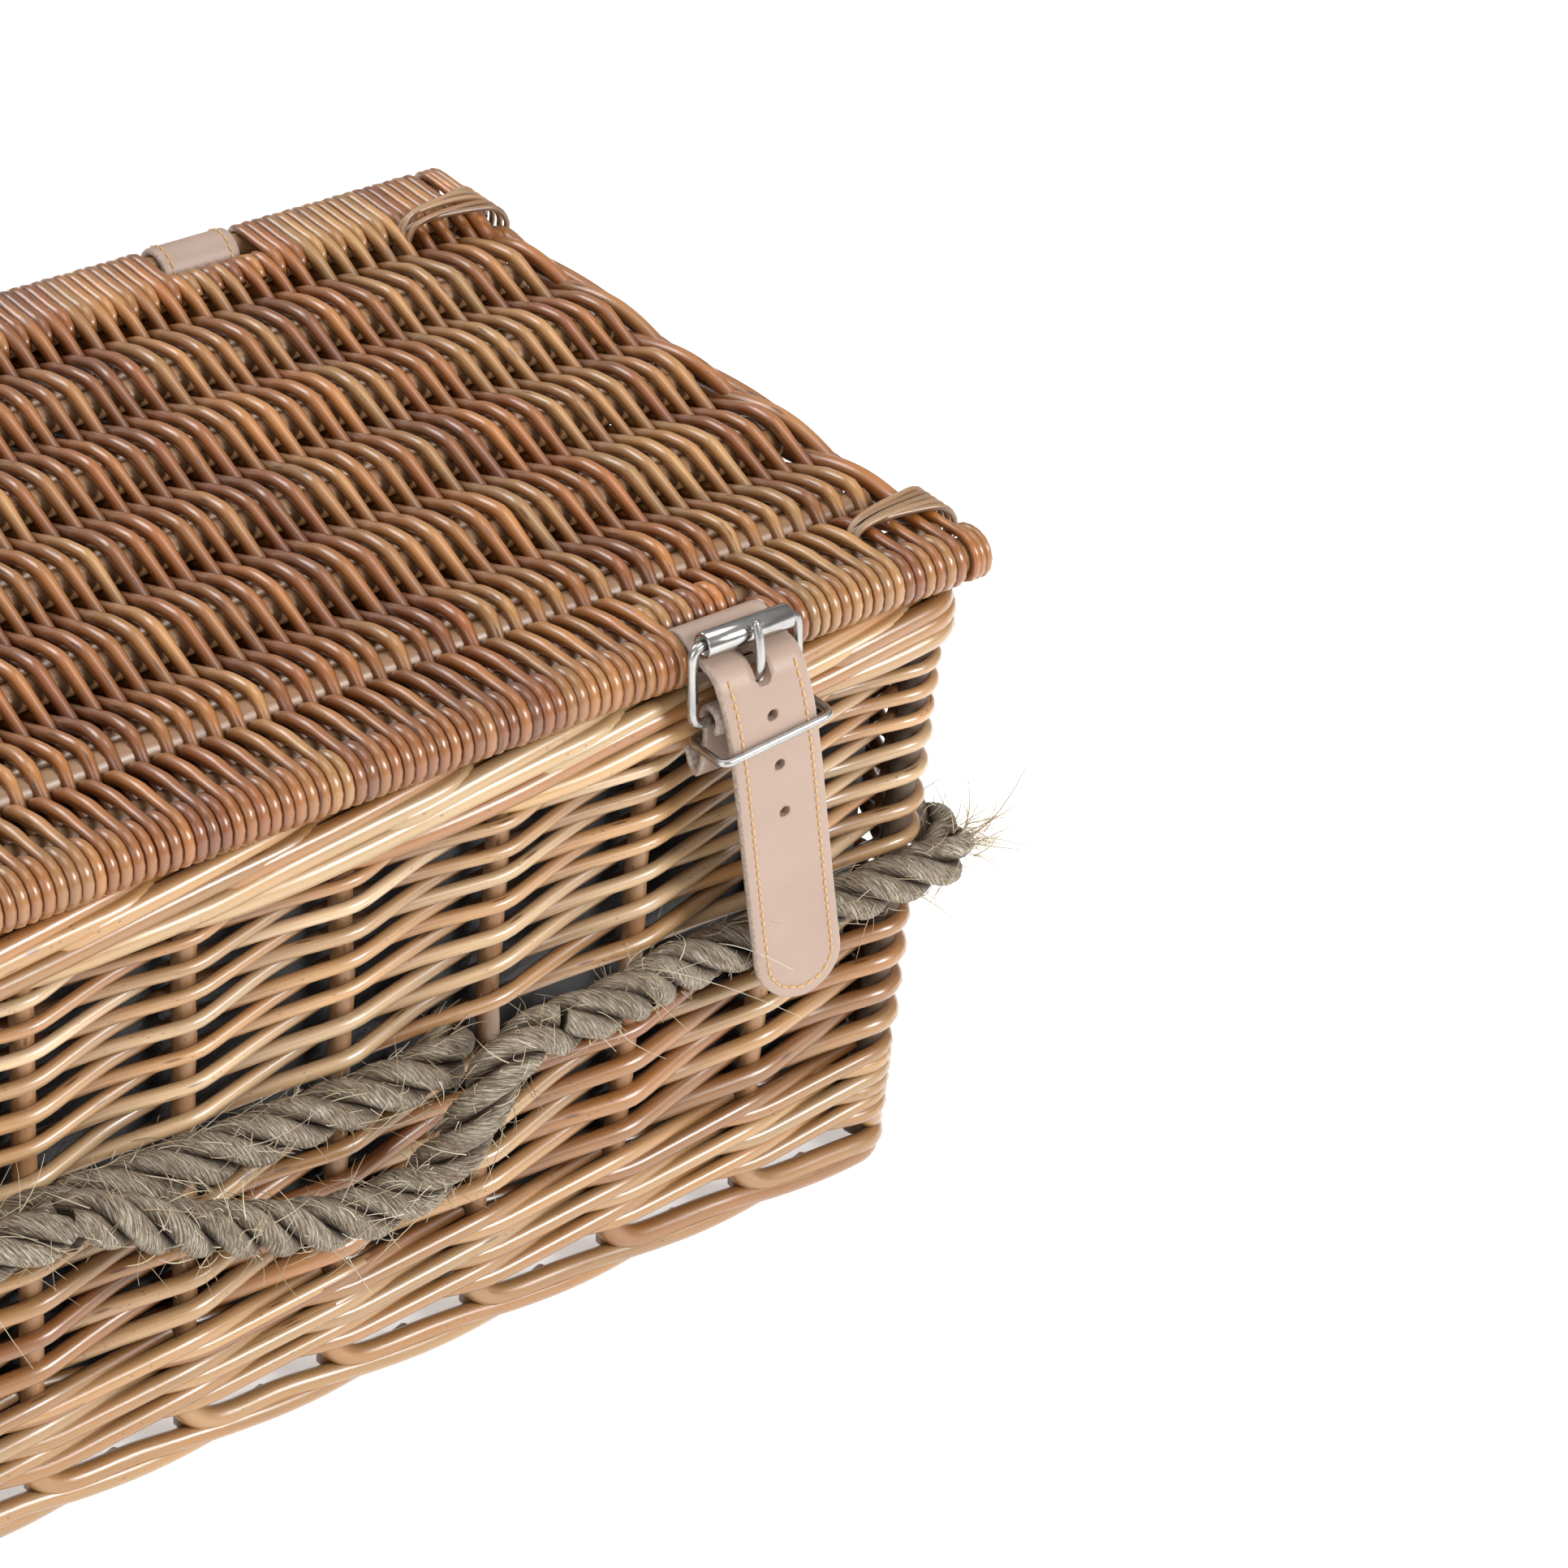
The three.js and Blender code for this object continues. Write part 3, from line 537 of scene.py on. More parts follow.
def floor_material():
    m = Nodes("floor_pale")
    colour = m.ramp(m.noise(m.object_space(), 3.0, 2), [(0.3, (0.90,)), (0.7, (0.93,))])
    m.set(Base_Color=colour, Roughness=0.8, Specular_IOR_Level=0.2, Emission_Color=(1, 1, 1, 1),
          Emission_Strength=0.45)
    return m.material


ROPE = rope_material()
FIBRE = fibre_material()
LEATHER_LOOK = leather_material()
THREAD = thread_material()
WIRE_STEEL = steel_material("steel_wire", 0.20)
ROLLER_STEEL = steel_material("steel_roller", 0.10)
LINING_LOOK = lining_material()

# ---------------------------------------------------------------- the way round the walls

BODY_HALF_X, BODY_HALF_Y = 195, 115
LEAN, LEAN_TOP_Z = 6, 170
MID_X, MID_Y = 190, 110
CORNER_R = 6
LONG_STAKES = [-147, -105, -63, -21, 21, 63, 105, 147]
SHORT_STAKES = [-80, -40, 0, 40, 80]
SIDES = ("front", "back", "left", "right")
ENDS = (("left", -1), ("right", 1))
CORNER_SIGNS = np.array([(1, -1), (1, 1), (-1, 1), (-1, -1)])


def lean(points):
    """The walls lean in towards the foot."""
    p = np.array(points, float)
    inward = LEAN * np.maximum(0, 1 - p[..., 2] / LEAN_TOP_Z)
    p[..., 0] *= 1 - inward / BODY_HALF_X
    p[..., 1] *= 1 - inward / BODY_HALF_Y
    return p


def round_corners(half_x, half_y, radius, count):
    """Each corner of a rounded rectangle, anticlockwise from the front right: points and outward normals."""
    for turn, signs in enumerate(CORNER_SIGNS):
        angles = np.linspace(turn - 1, turn, count) * math.pi / 2
        normals = np.column_stack([np.cos(angles), np.sin(angles)])
        yield signs * (half_x - radius, half_y - radius) + radius * normals, normals


def round_walls():
    """The wall's middle line, anticlockwise from the front left corner: points, outward normals, lengths."""
    corners = list(round_corners(MID_X, MID_Y, CORNER_R, 13))
    points, normals = (np.vstack(part) for part in zip(*corners))
    points = np.vstack([points[-1:], points])
    return points, np.vstack([normals[-1:], normals]), lengths_along(points)


WALL_POINTS, WALL_NORMALS, WALL_AT = round_walls()
GIRTH = WALL_AT[-1]


def on_wall(track):
    """Points (arc, outward offset, height) as points in space, leaning with the wall."""
    track = np.array(track, float)
    arc = track[:, 0] % GIRTH
    base = np.stack([np.interp(arc, WALL_AT, WALL_POINTS[:, i]) for i in (0, 1)], 1)
    out = np.stack([np.interp(arc, WALL_AT, WALL_NORMALS[:, i]) for i in (0, 1)], 1)
    out /= np.linalg.norm(out, axis=1, keepdims=True)
    return lean(np.column_stack([base + out * track[:, 1:2], track[:, 2]]))


def stations():
    """Arcs of all stakes and corner posts, in order, and which are corners."""
    found = []
    quarter = CORNER_R * math.pi / 2
    sides = [(2 * (MID_X - CORNER_R), LONG_STAKES), (2 * (MID_Y - CORNER_R), SHORT_STAKES)] * 2
    start = 0
    for run, stakes in sides:
        found += [(start + run / 2 + at, False) for at in stakes]
        found.append((start + run + quarter / 2, True))
        start += run + quarter
    return found


def wall_shade(points):
    """Painted shade: deep in the wall is dark; the outer face is light."""
    inward = LEAN * np.maximum(0, 1 - points[:, 2] / LEAN_TOP_Z)
    out = np.maximum(np.abs(points[:, 0]) - MID_X, np.abs(points[:, 1]) - MID_Y) + inward
    return (out + 1.5) / 5.5


STATIONS = stations()
STATION_COUNT = len(STATIONS)


def station(k):
    """Arc of station k, counted on past the end of the round."""
    return STATIONS[k % STATION_COUNT][0] + GIRTH * (k // STATION_COUNT)


def is_corner(k):
    return STATIONS[k % STATION_COUNT][1]


# How far out of the wall's middle line a rod lies: in front of a stake, behind one, and between two.
FRONT, BACK, BETWEEN = 4.4, -3.4, -0.3
CORNER_FRONT, CORNER_BACK, CORNER_HALF = 4.2, -4.6, 5.5
UPPER_HEIGHTS = 100.4 + np.concatenate([[0], np.cumsum(np.linspace(5.1, 3.2, 12))])
LOWER_HEIGHTS = np.linspace(44.5, 84.4, 9)
WALE_HEIGHTS = (17.3, 24.8, 33.0)
WALE_RUN = 10
UPRIGHT = {"side": (0, 0, 1), "turn": math.pi / 2}
step_heights = rng.normal(0, 0.7, STATION_COUNT)


def tone(spread=1.0):
    return np.array([0.5 + (rng.random() - 0.5) * spread, rng.random(), rng.random()])


def woven(k, front):
    """Control points (arc, offset) where a rod passes station k."""
    if is_corner(k):
        if front:
            return [(station(k) + shift, CORNER_FRONT) for shift in (-CORNER_HALF, 0, CORNER_HALF)]
        return [(station(k), CORNER_BACK)]
    return [(station(k), FRONT + rng.normal(0, 0.25) if front else BACK + rng.normal(0, 0.15))]


def nodes_on(sides_of):
    return [f"{sides_of}_{side}" for side in SIDES]


def rand_band(bundle, heights, butt, end):
    """French randing: a rod from each stake goes in front of one and behind one, and climbs a row at each."""
    levels = len(heights)
    for j in range(STATION_COUNT):
        track = [(station(j - 1) - 12, BACK, heights[0] - 6), (station(j - 1) + 3, BACK, heights[0] - 5.5),
                 ((station(j - 1) + station(j)) / 2, 0.2, heights[0] - 2.5)]
        for level in range(levels):
            k = j + level
            drift = step_heights[k % STATION_COUNT] + rng.normal(0, 0.3)
            edge = min(level, levels - 1 - level) / 2
            for arc, offset in woven(k, level % 2 == 0):
                track.append((arc, offset, heights[level] + drift * min(1, edge)))
            middle = (station(k) + station(k + 1)) / 2
            if level < levels - 1:
                rise = (heights[level] + heights[level + 1]) / 2
                track.append((middle, BETWEEN + rng.normal(0, 0.25), rise + rng.normal(0, 0.25)))
        track.append((track[-1][0] + 22, BACK + 0.4, track[-1][2] + 1.5))
        line = resample(on_wall(crisp(track, 6)), 2.6)
        at = np.linspace(0, 1, len(line))
        radius = (butt + (end - butt) * at) * (1 + 0.05 * np.sin(at * 23 + rng.random() * 6))
        bundle.tube(line, radius * rng.normal(1, 0.05), tone=tone(), flank=0.35, **UPRIGHT)


def make_randing():
    upper = Bundle()
    rand_band(upper, UPPER_HEIGHTS, 2.15, 1.5)
    upper.build("randing_upper", WILLOW_UPPER_LIT, "basket", "willow", nodes_on("upper_weave"), wall_shade)
    lower = Bundle()
    rand_band(lower, LOWER_HEIGHTS, 2.55, 2.1)
    for height in WALE_HEIGHTS:
        wale(lower, height)
    lower.build("randing_lower_and_wale", WILLOW_WALL_SHADED, "basket", "willow", nodes_on("lower_weave"),
                wall_shade)


def wale(bundle, height):
    """Three-rod waling: each rod goes in front of two stakes, climbing, and behind the third."""
    for q in range(3):
        for start in range(q, q + STATION_COUNT, WALE_RUN):
            track = []
            first = start - start % 3 + q
            for k in range(first, first + WALE_RUN + 3):
                phase = (k - q) % 3
                rise = (1.6, -1.4, 2.6)[phase] + rng.normal(0, 0.35)
                for arc, offset in woven(k, phase != 0):
                    track.append((arc, offset, height + rise))
            line = resample(on_wall(crisp(track, 9)), 3)
            at = np.linspace(0, 1, len(line))
            bundle.tube(line, (2.5 - 0.5 * at) * rng.normal(1, 0.04), tone=tone(0.8), flank=0.5, **UPRIGHT)


def make_border():
    """The stakes' own ends, bent over and plaited to the right in two layers, with a third layer inside."""
    rim = Bundle()
    for k in range(STATION_COUNT):
        a = station(k)
        slack = rng.normal(0, 0.5, 4)
        low = [(a - 10, -2.2, 153.6), (a + 6, 2.6, 155 + slack[0]), (a + 24, 5.0, 157 + slack[0]),
               (a + 45, 5.4, 159.3 + slack[1]), (a + 66, 5.5, 161.6 + slack[2]),
               (a + 88, 5.2, 164.2 + slack[2]), (a + 106, 4.6, 166.3), (a + 113, 2.8, 167),
               (a + 116, -0.6, 167)]
        high = [(a + 7, -4, 161), (a + 6.5, 0.5, 162.6), (a + 8.5, 4.4, 163.0),
                (a + 16, 5.3, 164.0 + slack[3]), (a + 38, 4.4, 166.8), (a + 60, 2.2, 168.4),
                (a + 82, -1.5, 168.8), (a + 104, -4, 168)]
        for track, size in ((low, 2.75), (high, 2.65)):
            line = resample(on_wall(smooth(track, 12)), 2.6)
            at = np.linspace(0, 1, len(line))
            radius = size * rng.normal(1, 0.05) * (1.06 - 0.16 * at)
            rim.tube(line, radius, tone=tone(0.9), flank=0.6, **UPRIGHT)
        inner = [(a - 4, -3.2, 157), (a + 20, -4.4, 160.5), (a + 60, -4.2, 164), (a + 100, -3.6, 166.5)]
        rim.tube(resample(on_wall(smooth(inner)), 4), 2.5, sides=8, tone=tone(0.9), side=(0, 0, 1))
    rim.build("rim_border", WILLOW_RIM, "basket", "willow", nodes_on("border_and_stakes"), wall_shade)


def make_stakes():
    upright, posts = Bundle(), Bundle()
    for k in range(STATION_COUNT):
        sway = rng.normal(0, 0.35, (9, 2))
        track = np.column_stack([station(k) + sway[:, 0], -0.2 + sway[:, 1] * 0.6, np.linspace(7, 160, 9)])
        line = resample(on_wall(smooth(track)), 5)
        if is_corner(k):
            posts.tube(line, 3.7 + 0.12 * np.sin(np.arange(len(line)) * 1.9 + k), sides=12, tone=tone())
        else:
            upright.tube(line, 2.9 + 0.1 * np.sin(np.arange(len(line)) * 1.3 + k), tone=tone())
    upright.build("stakes", STICK, "basket", "stick")
    posts.build("corner_posts", BARK, "basket", "post",
                [f"corner_post_{a}_{b}" for a in ("front", "back") for b in ("left", "right")])


def make_foot():
    """The foot border: each rod comes down at a stake, bends and runs to the right along the ground."""
    foot = Bundle()
    for k in range(STATION_COUNT):
        a = station(k)
        sway = rng.normal(0, 0.4, 4) / 2
        track = [(a - 3.5, 0.0, 21), (a - 3, 1.4, 15.5), (a - 0.5, 2.8, 11.4), (a + 4, 3.4, 8.4),
                 (a + 11, 3.6, 7.3), (a + 25, 3.5 + sway[0], 6.9), (a + 38, 3.8, 6.2 + sway[1]),
                 (a + 52, 4.4, 4.7), (a + 68, 4.4, 3.6), (a + 84, 3.0, 3.0), (a + 98, 0.5, 3.0),
                 (a + 108, -2.5, 3.1)]
        line = resample(on_wall(smooth(track, 12)), 2.0)
        at = np.linspace(0, 1, len(line))
        radius = (3.05 - 0.85 * at) * rng.normal(1, 0.03)
        foot.tube(line, radius, sides=11, tone=tone(0.7), flank=0.5, **UPRIGHT)
    foot.build("foot_loops", WILLOW_WALL_SHADED, "basket", "willow", ["foot_border"])


# ---------------------------------------------------------------- base and lining

BASE_STICKS_Y = (-70, 0, 70)
BASE_Z, BASE_HALF_X, BASE_HALF_Y = 22, 182, 103
BASE_PITCH = 5.6


def make_base():
    weave = Bundle()
    for k, x in enumerate(np.arange(-BASE_HALF_X, BASE_HALF_X + 1, BASE_PITCH)):
        sign = 1 if k % 2 else -1
        track = [(x, -BASE_HALF_Y, BASE_Z), (x, -86, BASE_Z + 1.2 * sign)]
        for i, y in enumerate(BASE_STICKS_Y):
            lift = sign * (1 if i % 2 else -1) * 2.6
            track.append((x + rng.normal(0, 0.3), y, BASE_Z + lift))
            if y < BASE_STICKS_Y[-1]:
                track.append((x, y + 35, BASE_Z))
        track += [(x, 86, BASE_Z + 1.2 * sign), (x, BASE_HALF_Y, BASE_Z)]
        line = resample(smooth(track), 4)
        weave.tube(line, 2.3 * rng.normal(1, 0.05), sides=8, tone=tone(), side=(1, 0, 0), wide=1.15)
    weave.build("base_rods", WILLOW_WALL_SHADED, "basket", "willow", ["base_weave"])
    sticks = Bundle()
    for y in BASE_STICKS_Y:
        line = resample(np.array([(-184, y, BASE_Z), (184, y, BASE_Z)], float), 8)
        sticks.tube(line, 2.8 + 0.1 * np.sin(np.arange(len(line))), tone=tone())
    sticks.build("base_sticks", STICK, "basket", "stick", [f"base_stick_{i}" for i in (1, 2, 3)])


LINING_CORNER_R = 5.0


def make_lining():
    """An open-topped liner of coated cloth: floor and four walls with slight folds."""
    low, high = (np.array(c) / MM - (0, SHIFT_Y / MM, 0) for c in LINING_BOX)
    top, bottom = high[2], low[2] + 0.8
    half = high[:2] - 0.9
    outline = np.vstack([points for points, _ in round_corners(*half, LINING_CORNER_R, 7)])
    outline = np.vstack([outline, outline[:1]])
    around = np.linspace(0, 1, 241)[:-1]
    at = lengths_along(outline)
    ring = np.stack([np.interp(around * at[-1], at, outline[:, i]) for i in (0, 1)], 1)
    inward = -ring / np.linalg.norm(ring, axis=1, keepdims=True)
    phase = around * 2 * math.pi
    rows = []
    for z in [*np.linspace(top, bottom + 3, 16), bottom + 1, bottom]:
        t = (z - bottom) / (top - bottom)
        folds = 0.8 * np.sin(phase * 17 + 3 * t) + 0.7 * np.sin(phase * 31 - 5 * t)
        folds = folds + 0.5 * np.sin(phase * 53 + 2)
        shrink = 1 - (1 - t) * LEAN * (top - bottom) / LEAN_TOP_Z / 150
        tuck = 2.2 if z == bottom else 0
        flat_ring = ring * shrink + inward * (1.4 + folds * t * 0.6 + tuck)[:, None]
        rows.append(np.column_stack([flat_ring, np.full(len(ring), z)]))
    floor_edge = rows[-1][:, :2]
    for shrink in (0.93, 0.8, 0.6, 0.4, 0.2):
        flat_ring = floor_edge * shrink
        rise = 0.5 * np.sin(flat_ring[:, 0] / 23) * np.sin(flat_ring[:, 1] / 31) * (1 - shrink)
        rows.append(np.column_stack([flat_ring, bottom + rise]))
    n = len(around)
    points = np.concatenate([*rows, [[0, 0, bottom]]])
    faces = [(i * n + j, i * n + (j + 1) % n, (i + 1) * n + (j + 1) % n, (i + 1) * n + j)
             for i in range(len(rows) - 1) for j in range(n)]
    last = (len(rows) - 1) * n
    faces += [(last + j, last + (j + 1) % n, len(points) - 1) for j in range(n)]
    mesh = bpy.data.meshes.new("lining_bag")
    mesh.from_pydata(metres(points).tolist(), [], faces)
    mesh.polygons.foreach_set("use_smooth", np.ones(len(faces), bool))
    obj = piece("lining_bag", mesh, LINING_LOOK, "basket", ["lining"])
    thick = obj.modifiers.new("thickness", "SOLIDIFY")
    thick.thickness = 0.0006
    thick.offset = 0


# ---------------------------------------------------------------- lid

LID_Z = 178
PAIRS_Y = [-75.5, -40, -4.5, 31, 66.5]
PAIR_HALF, PAIR_PITCH = 4.5, 35.5
SECOND_Y, EDGE_Y = 100, 113
WRAP_R, WRAP_HALF, NOTCH_WRAP_R = 5.8, 1.2, 4.6
CLOSURE_X, HINGE_X = 122, 120.5
NOTCH_HALF = 13.5
ROD_PITCH = 3.16
ROD_SPAN = 192.6


def lid_shade(points):
    """Painted shade: the middle of the lid's thickness is dark; its two faces and its front and back edges
    are light, but the wrapped edges past 107 mm out are held at no more than 0.62.
    """
    shade = np.maximum(np.abs(points[:, 2] - LID_Z) / 5.4, (np.abs(points[:, 1]) - 112.4) / 8)
    # painted shade: the wrapped front and back edges are held at no more than 0.62 light
    return np.where(np.abs(points[:, 1]) > 107, np.minimum(shade, 0.62), shade)


def wrap_points(y, sign, radius, first, last):
    """Points round a stick at y; angles are in degrees from straight out, and sign is the outward way."""
    return [(y + sign * radius * math.cos(math.radians(a)), radius * math.sin(math.radians(a)))
            for a in np.linspace(first, last, 9)]


def rod_end(sign, over, notched):
    """(y, z) from the last pair out to the edge and round it; sign is -1 at the front, +1 at the back."""
    if sign < 0:
        inner = [(-88, 2.6 if over else -2.8)]
    else:
        inner = [(82, -1.2), (90, 3.0)] if over else [(82, 1.0), (90, -3.6)]
    if notched:
        first, last = (80, -95) if over else (-80, 100)
        tail = [(sign * 95, -4.4)] if over else [(sign * 95, 3.4), (sign * 92.4, 0.4)]
        return inner + wrap_points(sign * (SECOND_Y - 0.4), sign, NOTCH_WRAP_R, first, last) + tail
    if over:
        return inner + [(sign * SECOND_Y, 5.25)] + wrap_points(sign * EDGE_Y, sign, WRAP_R, 90, -90) + [
            (sign * 105, -5.3), (sign * 97, -5.6)]
    front_tail = [(-107.8, 5.0), (-105.6, 3.2), (-105.2, 0.6)]
    back_tail = [(SECOND_Y, 5.3), (96, 4.7), (93.6, 2.6), (93.2, -0.6)]
    return inner + [(sign * SECOND_Y, -5.3)] + wrap_points(sign * EDGE_Y, sign, WRAP_R, -90, 90) + (
        front_tail if sign < 0 else back_tail)


def lid_rod(x, over_even):
    """The line of one lid rod from its front wrap, over and under the stick pairs, to its back wrap."""
    middle = []
    for i, y in enumerate(PAIRS_Y):
        sign = 1 if (i % 2 == 0) == over_even else -1
        high, low = 5.7 + rng.normal(0, 0.2), 4.6 + rng.normal(0, 0.2)
        middle += [(y - PAIR_HALF, sign * high), (y + PAIR_HALF, sign * low)]
    front = rod_end(-1, not over_even, abs(abs(x) - CLOSURE_X) < NOTCH_HALF)[::-1]
    back = rod_end(1, not over_even, abs(abs(x) - HINGE_X) < NOTCH_HALF)
    yz = np.array(front + middle + back)
    shift = np.zeros(len(yz))
    shift[len(front):-len(back)] = rng.normal(0, 0.32, len(middle))
    line = crisp(np.column_stack([x + shift, yz]), 4)
    line[:, 2] += LID_Z
    return line


def wrapped_share(y):
    """0 in the middle of the lid, 1 where a rod is flattened round the edge."""
    return np.clip((np.abs(y) - 97) / 6, 0, 1)


def make_lid_rods():
    rods = Bundle()
    colour = 0.5
    for k, x in enumerate(np.arange(-ROD_SPAN, ROD_SPAN + 0.1, ROD_PITCH)):
        line = resample(lid_rod(x, k % 2 == 0), 2.5)
        y, z = np.abs(line[:, 1]), np.abs(line[:, 2] - LID_Z)
        size = rng.normal(1, 0.045)
        wrapped = wrapped_share(y)
        wide = 1.55 + 0.36 * np.clip(z / 5, 0, 1) ** 2
        wide = wide + (1.60 - wide) * wrapped
        thick = 1.95 + (WRAP_HALF - 1.95) * wrapped
        if rng.random() < 0.5:
            colour = rng.beta(1.5, 1.3)
        mark = np.array([np.clip(colour + rng.normal(0, 0.12), 0, 1), rng.random(), rng.random()])
        rods.tube(line, thick * size, wide=wide / thick, side=(1, 0, 0), tone=mark, flank=0.85)
    rods.build("lid_rods", WILLOW_LID, "lid", "willow", ["lid_weave"], lid_shade)


def make_lid_sticks():
    sticks = Bundle()
    shapes = [(-EDGE_Y, 4.5, 196), (-SECOND_Y, 3.5, 196), (SECOND_Y, 3.5, 196), (EDGE_Y, 4.5, 196)]
    shapes += [(y + PAIR_HALF, 2.4, 189.5) for y in PAIRS_Y] + [(y - PAIR_HALF, 3.8, 190.5) for y in PAIRS_Y]
    for y, r, reach in shapes:
        line = resample(np.array([(-reach, y, LID_Z), (reach, y, LID_Z)], float), 5)
        line[:, 1:] += np.cumsum(rng.normal(0, 0.05, (len(line), 2)), 0)
        line[:, 1:] -= np.linspace(0, 1, len(line))[:, None] * (line[-1, 1:] - (y, LID_Z))
        sticks.tube(line, r * (1 + 0.03 * np.sin(np.arange(len(line)) * 0.9 + y)), sides=12, tone=tone())
    names = ["front_edge_stick", "front_second_stick", "back_second_stick", "back_edge_stick"]
    names += [f"lid_{kind}_stick_{i}" for kind in ("thin", "thick") for i in range(1, 6)]
    sticks.build("lid_sticks", STICK, "lid", "stick", names)


LID_END_RODS = ((194.4, 0, 3.3), (196.0, math.pi, 3.3), (197.9, 0.5 * math.pi, 1.2))  # x, phase and swing


def make_lid_ends():
    """Two long rods twisted round each other along each end of the lid, and a third one outside them."""
    for side, sign in ENDS:
        ends = Bundle()
        for x, phase, swing in LID_END_RODS:
            over = phase == 0
            front, back = rod_end(-1, over, False)[::-1], rod_end(1, over, False)
            middle = []
            for y in np.arange(-80, 75, 6.0):
                turn = math.pi * (y - PAIRS_Y[0]) / PAIR_PITCH + math.pi / 2 + phase
                middle.append((y, swing * math.sin(turn), 0.9 * math.cos(turn)))
            xs = [x] * len(front) + [x + shift for _, _, shift in middle] + [x] * len(back)
            yz = front + [(y, z) for y, z, _ in middle] + back
            line = resample(crisp(np.column_stack([sign * np.array(xs), yz]), 5), 2.4)
            line[:, 2] += LID_Z
            radius = 2.3 + 0.2 * np.sin(line[:, 1] * 0.08 + phase)
            radius += (WRAP_HALF - radius) * wrapped_share(line[:, 1])
            ends.tube(line, radius, tone=tone(0.7), side=(1, 0, 0), flank=0.6)
        ends.build(f"lid_end_rods_{side}", WILLOW_LID, "lid", "willow", [f"lid_end_{side}"], lid_shade)


LASHING_TURNS = 5


def make_lashings():
    """Split cane turned round the end of the lid near each corner; the turns cross and close up inwards."""
    for face, near, far in (("front", -103, -90), ("back", 84, 100)):
        middle, half = (near + far) / 2, (far - near) / 2 - 1.3
        for side, sign in ENDS:
            cane = Bundle()
            starts = np.linspace(-1, 1, LASHING_TURNS)
            for a, b in zip(starts, rng.permutation(starts)):
                outer, inner = middle + half * a, middle - 2 + half * 0.35 * b
                lift = 0.5 * math.cos(a * 2) + rng.normal(0, 0.25)
                ring = [(170.6, 0, -3), (171.2, 0, 2.5), (173.6, 0.3, 6.7 + lift), (180, 0.5, 8.2 + lift),
                        (190, 0.75, 8.2 + lift), (197, 1, 7.2), (200.6, 1, 3.6), (201.1, 1, -0.6),
                        (198.6, 1, -5.4), (190, 1, -7.6), (180, 0.5, -7.8), (173, 0, -6.0)]
                placed = [(sign * x, inner + share * (outer - inner), z + LID_Z) for x, share, z in ring]
                line = resample(smooth(placed, 8, closed=True), 2.0, closed=True)
                cane.tube(line, 0.8, sides=8, wide=1.1, flank=0.8, side=(0, 1, 0), tone=tone(), closed=True)
            cane.build(f"cane_lashing_{face}_{side}", CANE, "lid", "cane", [f"lashing_{face}_{side}"])


# ---------------------------------------------------------------- ropes

ROPE_R = 6.5
STRAND_OFFSET, STRAND_R = 3.65, 3.05
ROPE_LAY = 39.0
HANDLE_ROUTE = [
    (65.6, -130, 101.5), (60.8, -130, 101.8), (55, -130.8, 101), (49.4, -131.4, 98.2), (45.4, -131.6, 92.4),
    (41.6, -131.6, 85.6), (36.4, -131, 78.4), (29.4, -130.2, 72.8), (20.6, -129.4, 70), (10.4, -129, 69.8),
    (0, -129, 72.2), (-10.4, -129.4, 76.2), (-21, -130.2, 81.2), (-32, -131, 86.6), (-43, -131.4, 92.6),
    (-53, -131, 98), (-60.4, -130, 101.4), (-65.6, -130, 101.5)]
BACK_RUN_ROUTE = [
    (-84, -105.2, 95.8), (-84, -108, 95.8), (-83, -112, 95.8), (-80, -115.4, 95.8), (-75, -117.4, 95.8),
    (-68, -117.8, 95.8), (-50, -117.8, 95.2), (0, -117.8, 93.2), (30, -117.8, 92.6), (39, -117.4, 92.6),
    (44.6, -115.2, 92.6), (48, -111.6, 92.6), (49, -108, 92.6), (49, -105.2, 92.6)]
GIRDLE_Z, GIRDLE_X, GIRDLE_Y, GIRDLE_R = 94.6, 198.2, 118.4, 10.8
HANDLE_END = (66, -130, 101.5)
# Along the girdle from the handle's end: how far, and how much of the way out to the handle it still is.
STUB_SHARES = [(0, 1), (6, 1), (14, 0.96), (22, 0.78), (30, 0.45), (38, 0.14), (46, 0.01), (54, 0)]


def girdle_route():
    """From the handle's right end along the front, round the body, and back to its left end."""
    y, z = -GIRDLE_Y, GIRDLE_Z
    end_x, end_y, end_z = HANDLE_END
    start = [(end_x + run, y + (end_y - y) * share, z + (end_z - z) * share) for run, share in STUB_SHARES]
    end = [(-px, py, pz) for px, py, pz in start[::-1]]
    line = [*start, (140, y, z - 0.5), (160, y, z), (176, y, z)]
    runs = ([(GIRDLE_X, py) for py in (-60, 0, 60)], [(px, GIRDLE_Y) for px in (120, 60, 0, -60, -120)],
            [(-GIRDLE_X, py) for py in (60, 0, -60)], [(px, y) for px in (-176, -160, -140)])
    for (corner, _), run in zip(round_corners(GIRDLE_X, GIRDLE_Y, GIRDLE_R, 5), runs):
        line += [(px, py, z) for px, py in [*corner, *run]]
    return line + end


